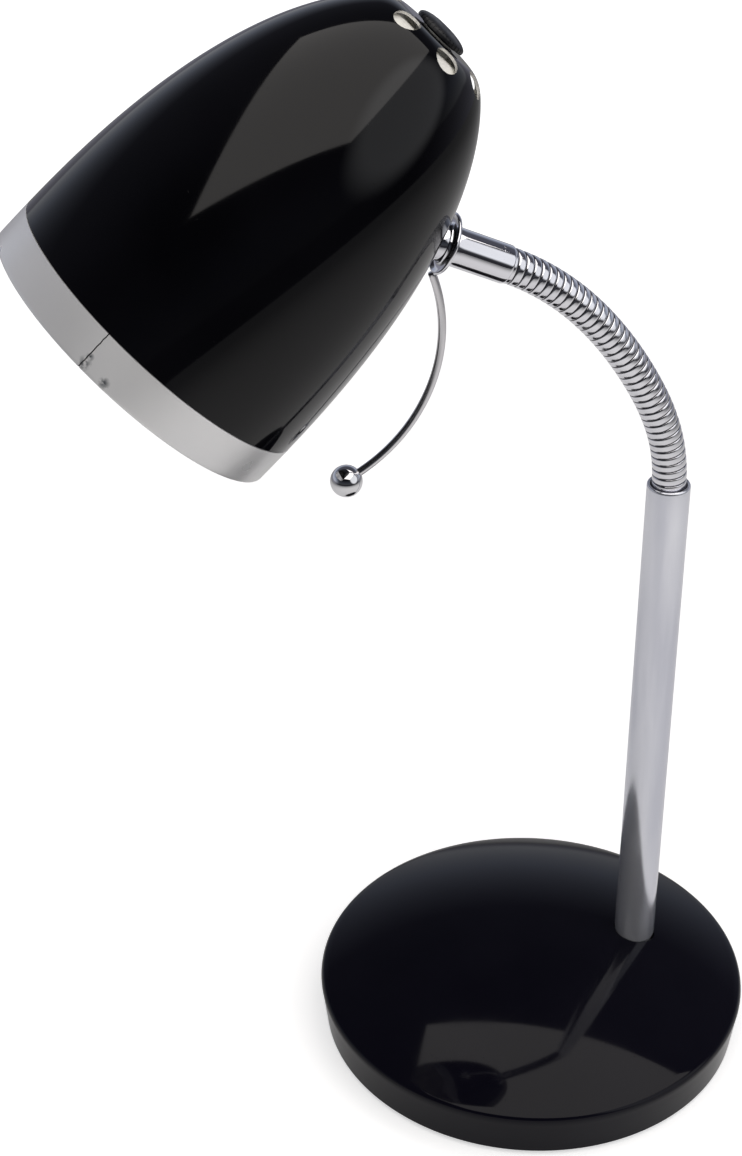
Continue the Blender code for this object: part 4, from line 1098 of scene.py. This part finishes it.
grooved(holder_ring, 17.9 * MM, -SHADE_LENGTH, 15, 7.5, 0.12 * MM, 0.35 * MM)
settle(holder_ring, shade_place)
smooth(holder_ring, 35)
holder_ring.data.materials.append(moulded_white)
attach(holder_ring, "head")
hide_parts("holder_ring")
refinish(moulded_white, "crown_spacer")
spring_brass, nodes, links, shader = finish_of("spring_brass", (0.70, 0.52, 0.22), 0.28, 1.0)
tarnish = grain(nodes, links, 130, 4, 0.0, 1.0, None)
tinted(nodes, links, tarnish, (0.58, 0.42, 0.17), (0.78, 0.60, 0.28), shader.inputs["Base Color"])
grain(nodes, links, 350, 3, 0.2, 0.4, shader.inputs["Roughness"])
refinish(spring_brass, "contact_shell", "contact_centre", "switch_spindle", "neck_nut")


# Rotary switch knob. Black moulded plastic on the switch spindle, with fine grip grooves round
# its side and a domed top. It stands clear of the crown and turns.

KNOB_LOW = 0.7 * MM
KNOB_RADIUS = 8.2 * MM
knob_rings = [
    (2.3 * MM, KNOB_LOW + 0.95 * MM),
    (6.6 * MM, KNOB_LOW + 0.95 * MM),
    (6.6 * MM, KNOB_LOW + 0.1 * MM),
    (6.7 * MM, KNOB_LOW),
    (8.0 * MM, KNOB_LOW),
    (KNOB_RADIUS, KNOB_LOW + 0.2 * MM),
    (KNOB_RADIUS, KNOB_LOW + 0.9 * MM),
    (8.1 * MM, KNOB_LOW + 1.15 * MM),
    (7.8 * MM, KNOB_LOW + 1.5 * MM),
    (7.2 * MM, KNOB_LOW + 1.9 * MM),
    (6.3 * MM, KNOB_LOW + 2.25 * MM),
    (5.1 * MM, KNOB_LOW + 2.56 * MM),
    (3.4 * MM, KNOB_LOW + 2.8 * MM),
    (0.5 * MM, KNOB_LOW + 2.9 * MM),
]
knob = turned("rotary_knob", knob_rings, sides=144)
grooved(knob, 7.9 * MM, KNOB_LOW + 0.4 * MM, 10, 2.5, 0.04 * MM, 0.15 * MM)
settle(knob, shade_place)
smooth(knob, 35)
knob_black, nodes, links, shader = finish_of("knob_black", (0.006, 0.006, 0.007), 0.4)
worn = grain(nodes, links, 150, 4, 0.0, 1.0, None)
knob_colour = shader.inputs["Base Color"]
tinted(nodes, links, worn, (0.004, 0.004, 0.005), (0.012, 0.012, 0.014), knob_colour)
shader.inputs["IOR"].default_value = 1.38
grain(nodes, links, 400, 3, 0.28, 0.5, shader.inputs["Roughness"])
relief(nodes, links, worn, 0.1, 0.0001, shader)
knob.data.materials.append(knob_black)
# The crown nut takes the knob's black: painted shade for the dark gap under the knob.
refinish(knob_black, "crown_nut")
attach(knob, "knob")
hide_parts("switch_knob")


# Bulb. An opal glass bulb on a small threaded metal cap, screwed into the lampholder.

THREAD_PITCH = 3.0
cap_rings = in_mm((0.6, -26.0), (3.0, -26.0), (3.5, -26.3), (6.5, -28.4))
for k in range(5):
    top = 29.0 + THREAD_PITCH * k
    cap_rings += in_mm((6.3, -top), (6.75, -(top + 0.7)), (6.88, -(top + 1.3)))
    cap_rings += in_mm((6.75, -(top + 1.9)), (6.3, -(top + 2.6)))
cap_rings += in_mm((6.4, -44.2), (6.9, -46.8), (7.7, -47.9), (7.2, -48.0))
bulb_cap = turned("bulb_screw_cap", cap_rings, sides=64)
settle(bulb_cap, shade_place)
smooth(bulb_cap, 50)
cap_metal, nodes, links, shader = finish_of("cap_metal", (0.68, 0.69, 0.70), 0.28, 1.0)
dull = grain(nodes, links, 180, 4, 0.0, 1.0, None)
tinted(nodes, links, dull, (0.55, 0.55, 0.56), (0.75, 0.75, 0.76), shader.inputs["Base Color"])
grain(nodes, links, 420, 3, 0.22, 0.42, shader.inputs["Roughness"])
bulb_cap.data.materials.append(cap_metal)
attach(bulb_cap, "head")
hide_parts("bulb_cap")

BULB_RADIUS = 22.5 * MM
ball_depth = 48.3 * MM + 50.0 * MM - BULB_RADIUS
glass_rings = in_mm((7.4, -48.3), (7.7, -48.4), (7.75, -50.0), (8.4, -52.5), (10.2, -55.6))
for k in range(33):
    turn = math.radians(34 + 144.5 * k / 32)
    glass_rings.append((BULB_RADIUS * math.sin(turn), -(ball_depth - BULB_RADIUS * math.cos(turn))))
bulb_glass = turned("bulb_opal_glass", glass_rings, sides=96)
settle(bulb_glass, shade_place)
smooth(bulb_glass, 60)
opal_glass, nodes, links, shader = finish_of("opal_glass", (0.88, 0.87, 0.84), 0.22, 0.0, 0.4)
cloudy = grain(nodes, links, 30, 3, 0.0, 1.0, None)
tinted(nodes, links, cloudy, (0.85, 0.84, 0.80), (0.91, 0.90, 0.88), shader.inputs["Base Color"])
grain(nodes, links, 90, 3, 0.15, 0.28, shader.inputs["Roughness"])
bulb_glass.data.materials.append(opal_glass)
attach(bulb_glass, "head")
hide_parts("bulb_glass")
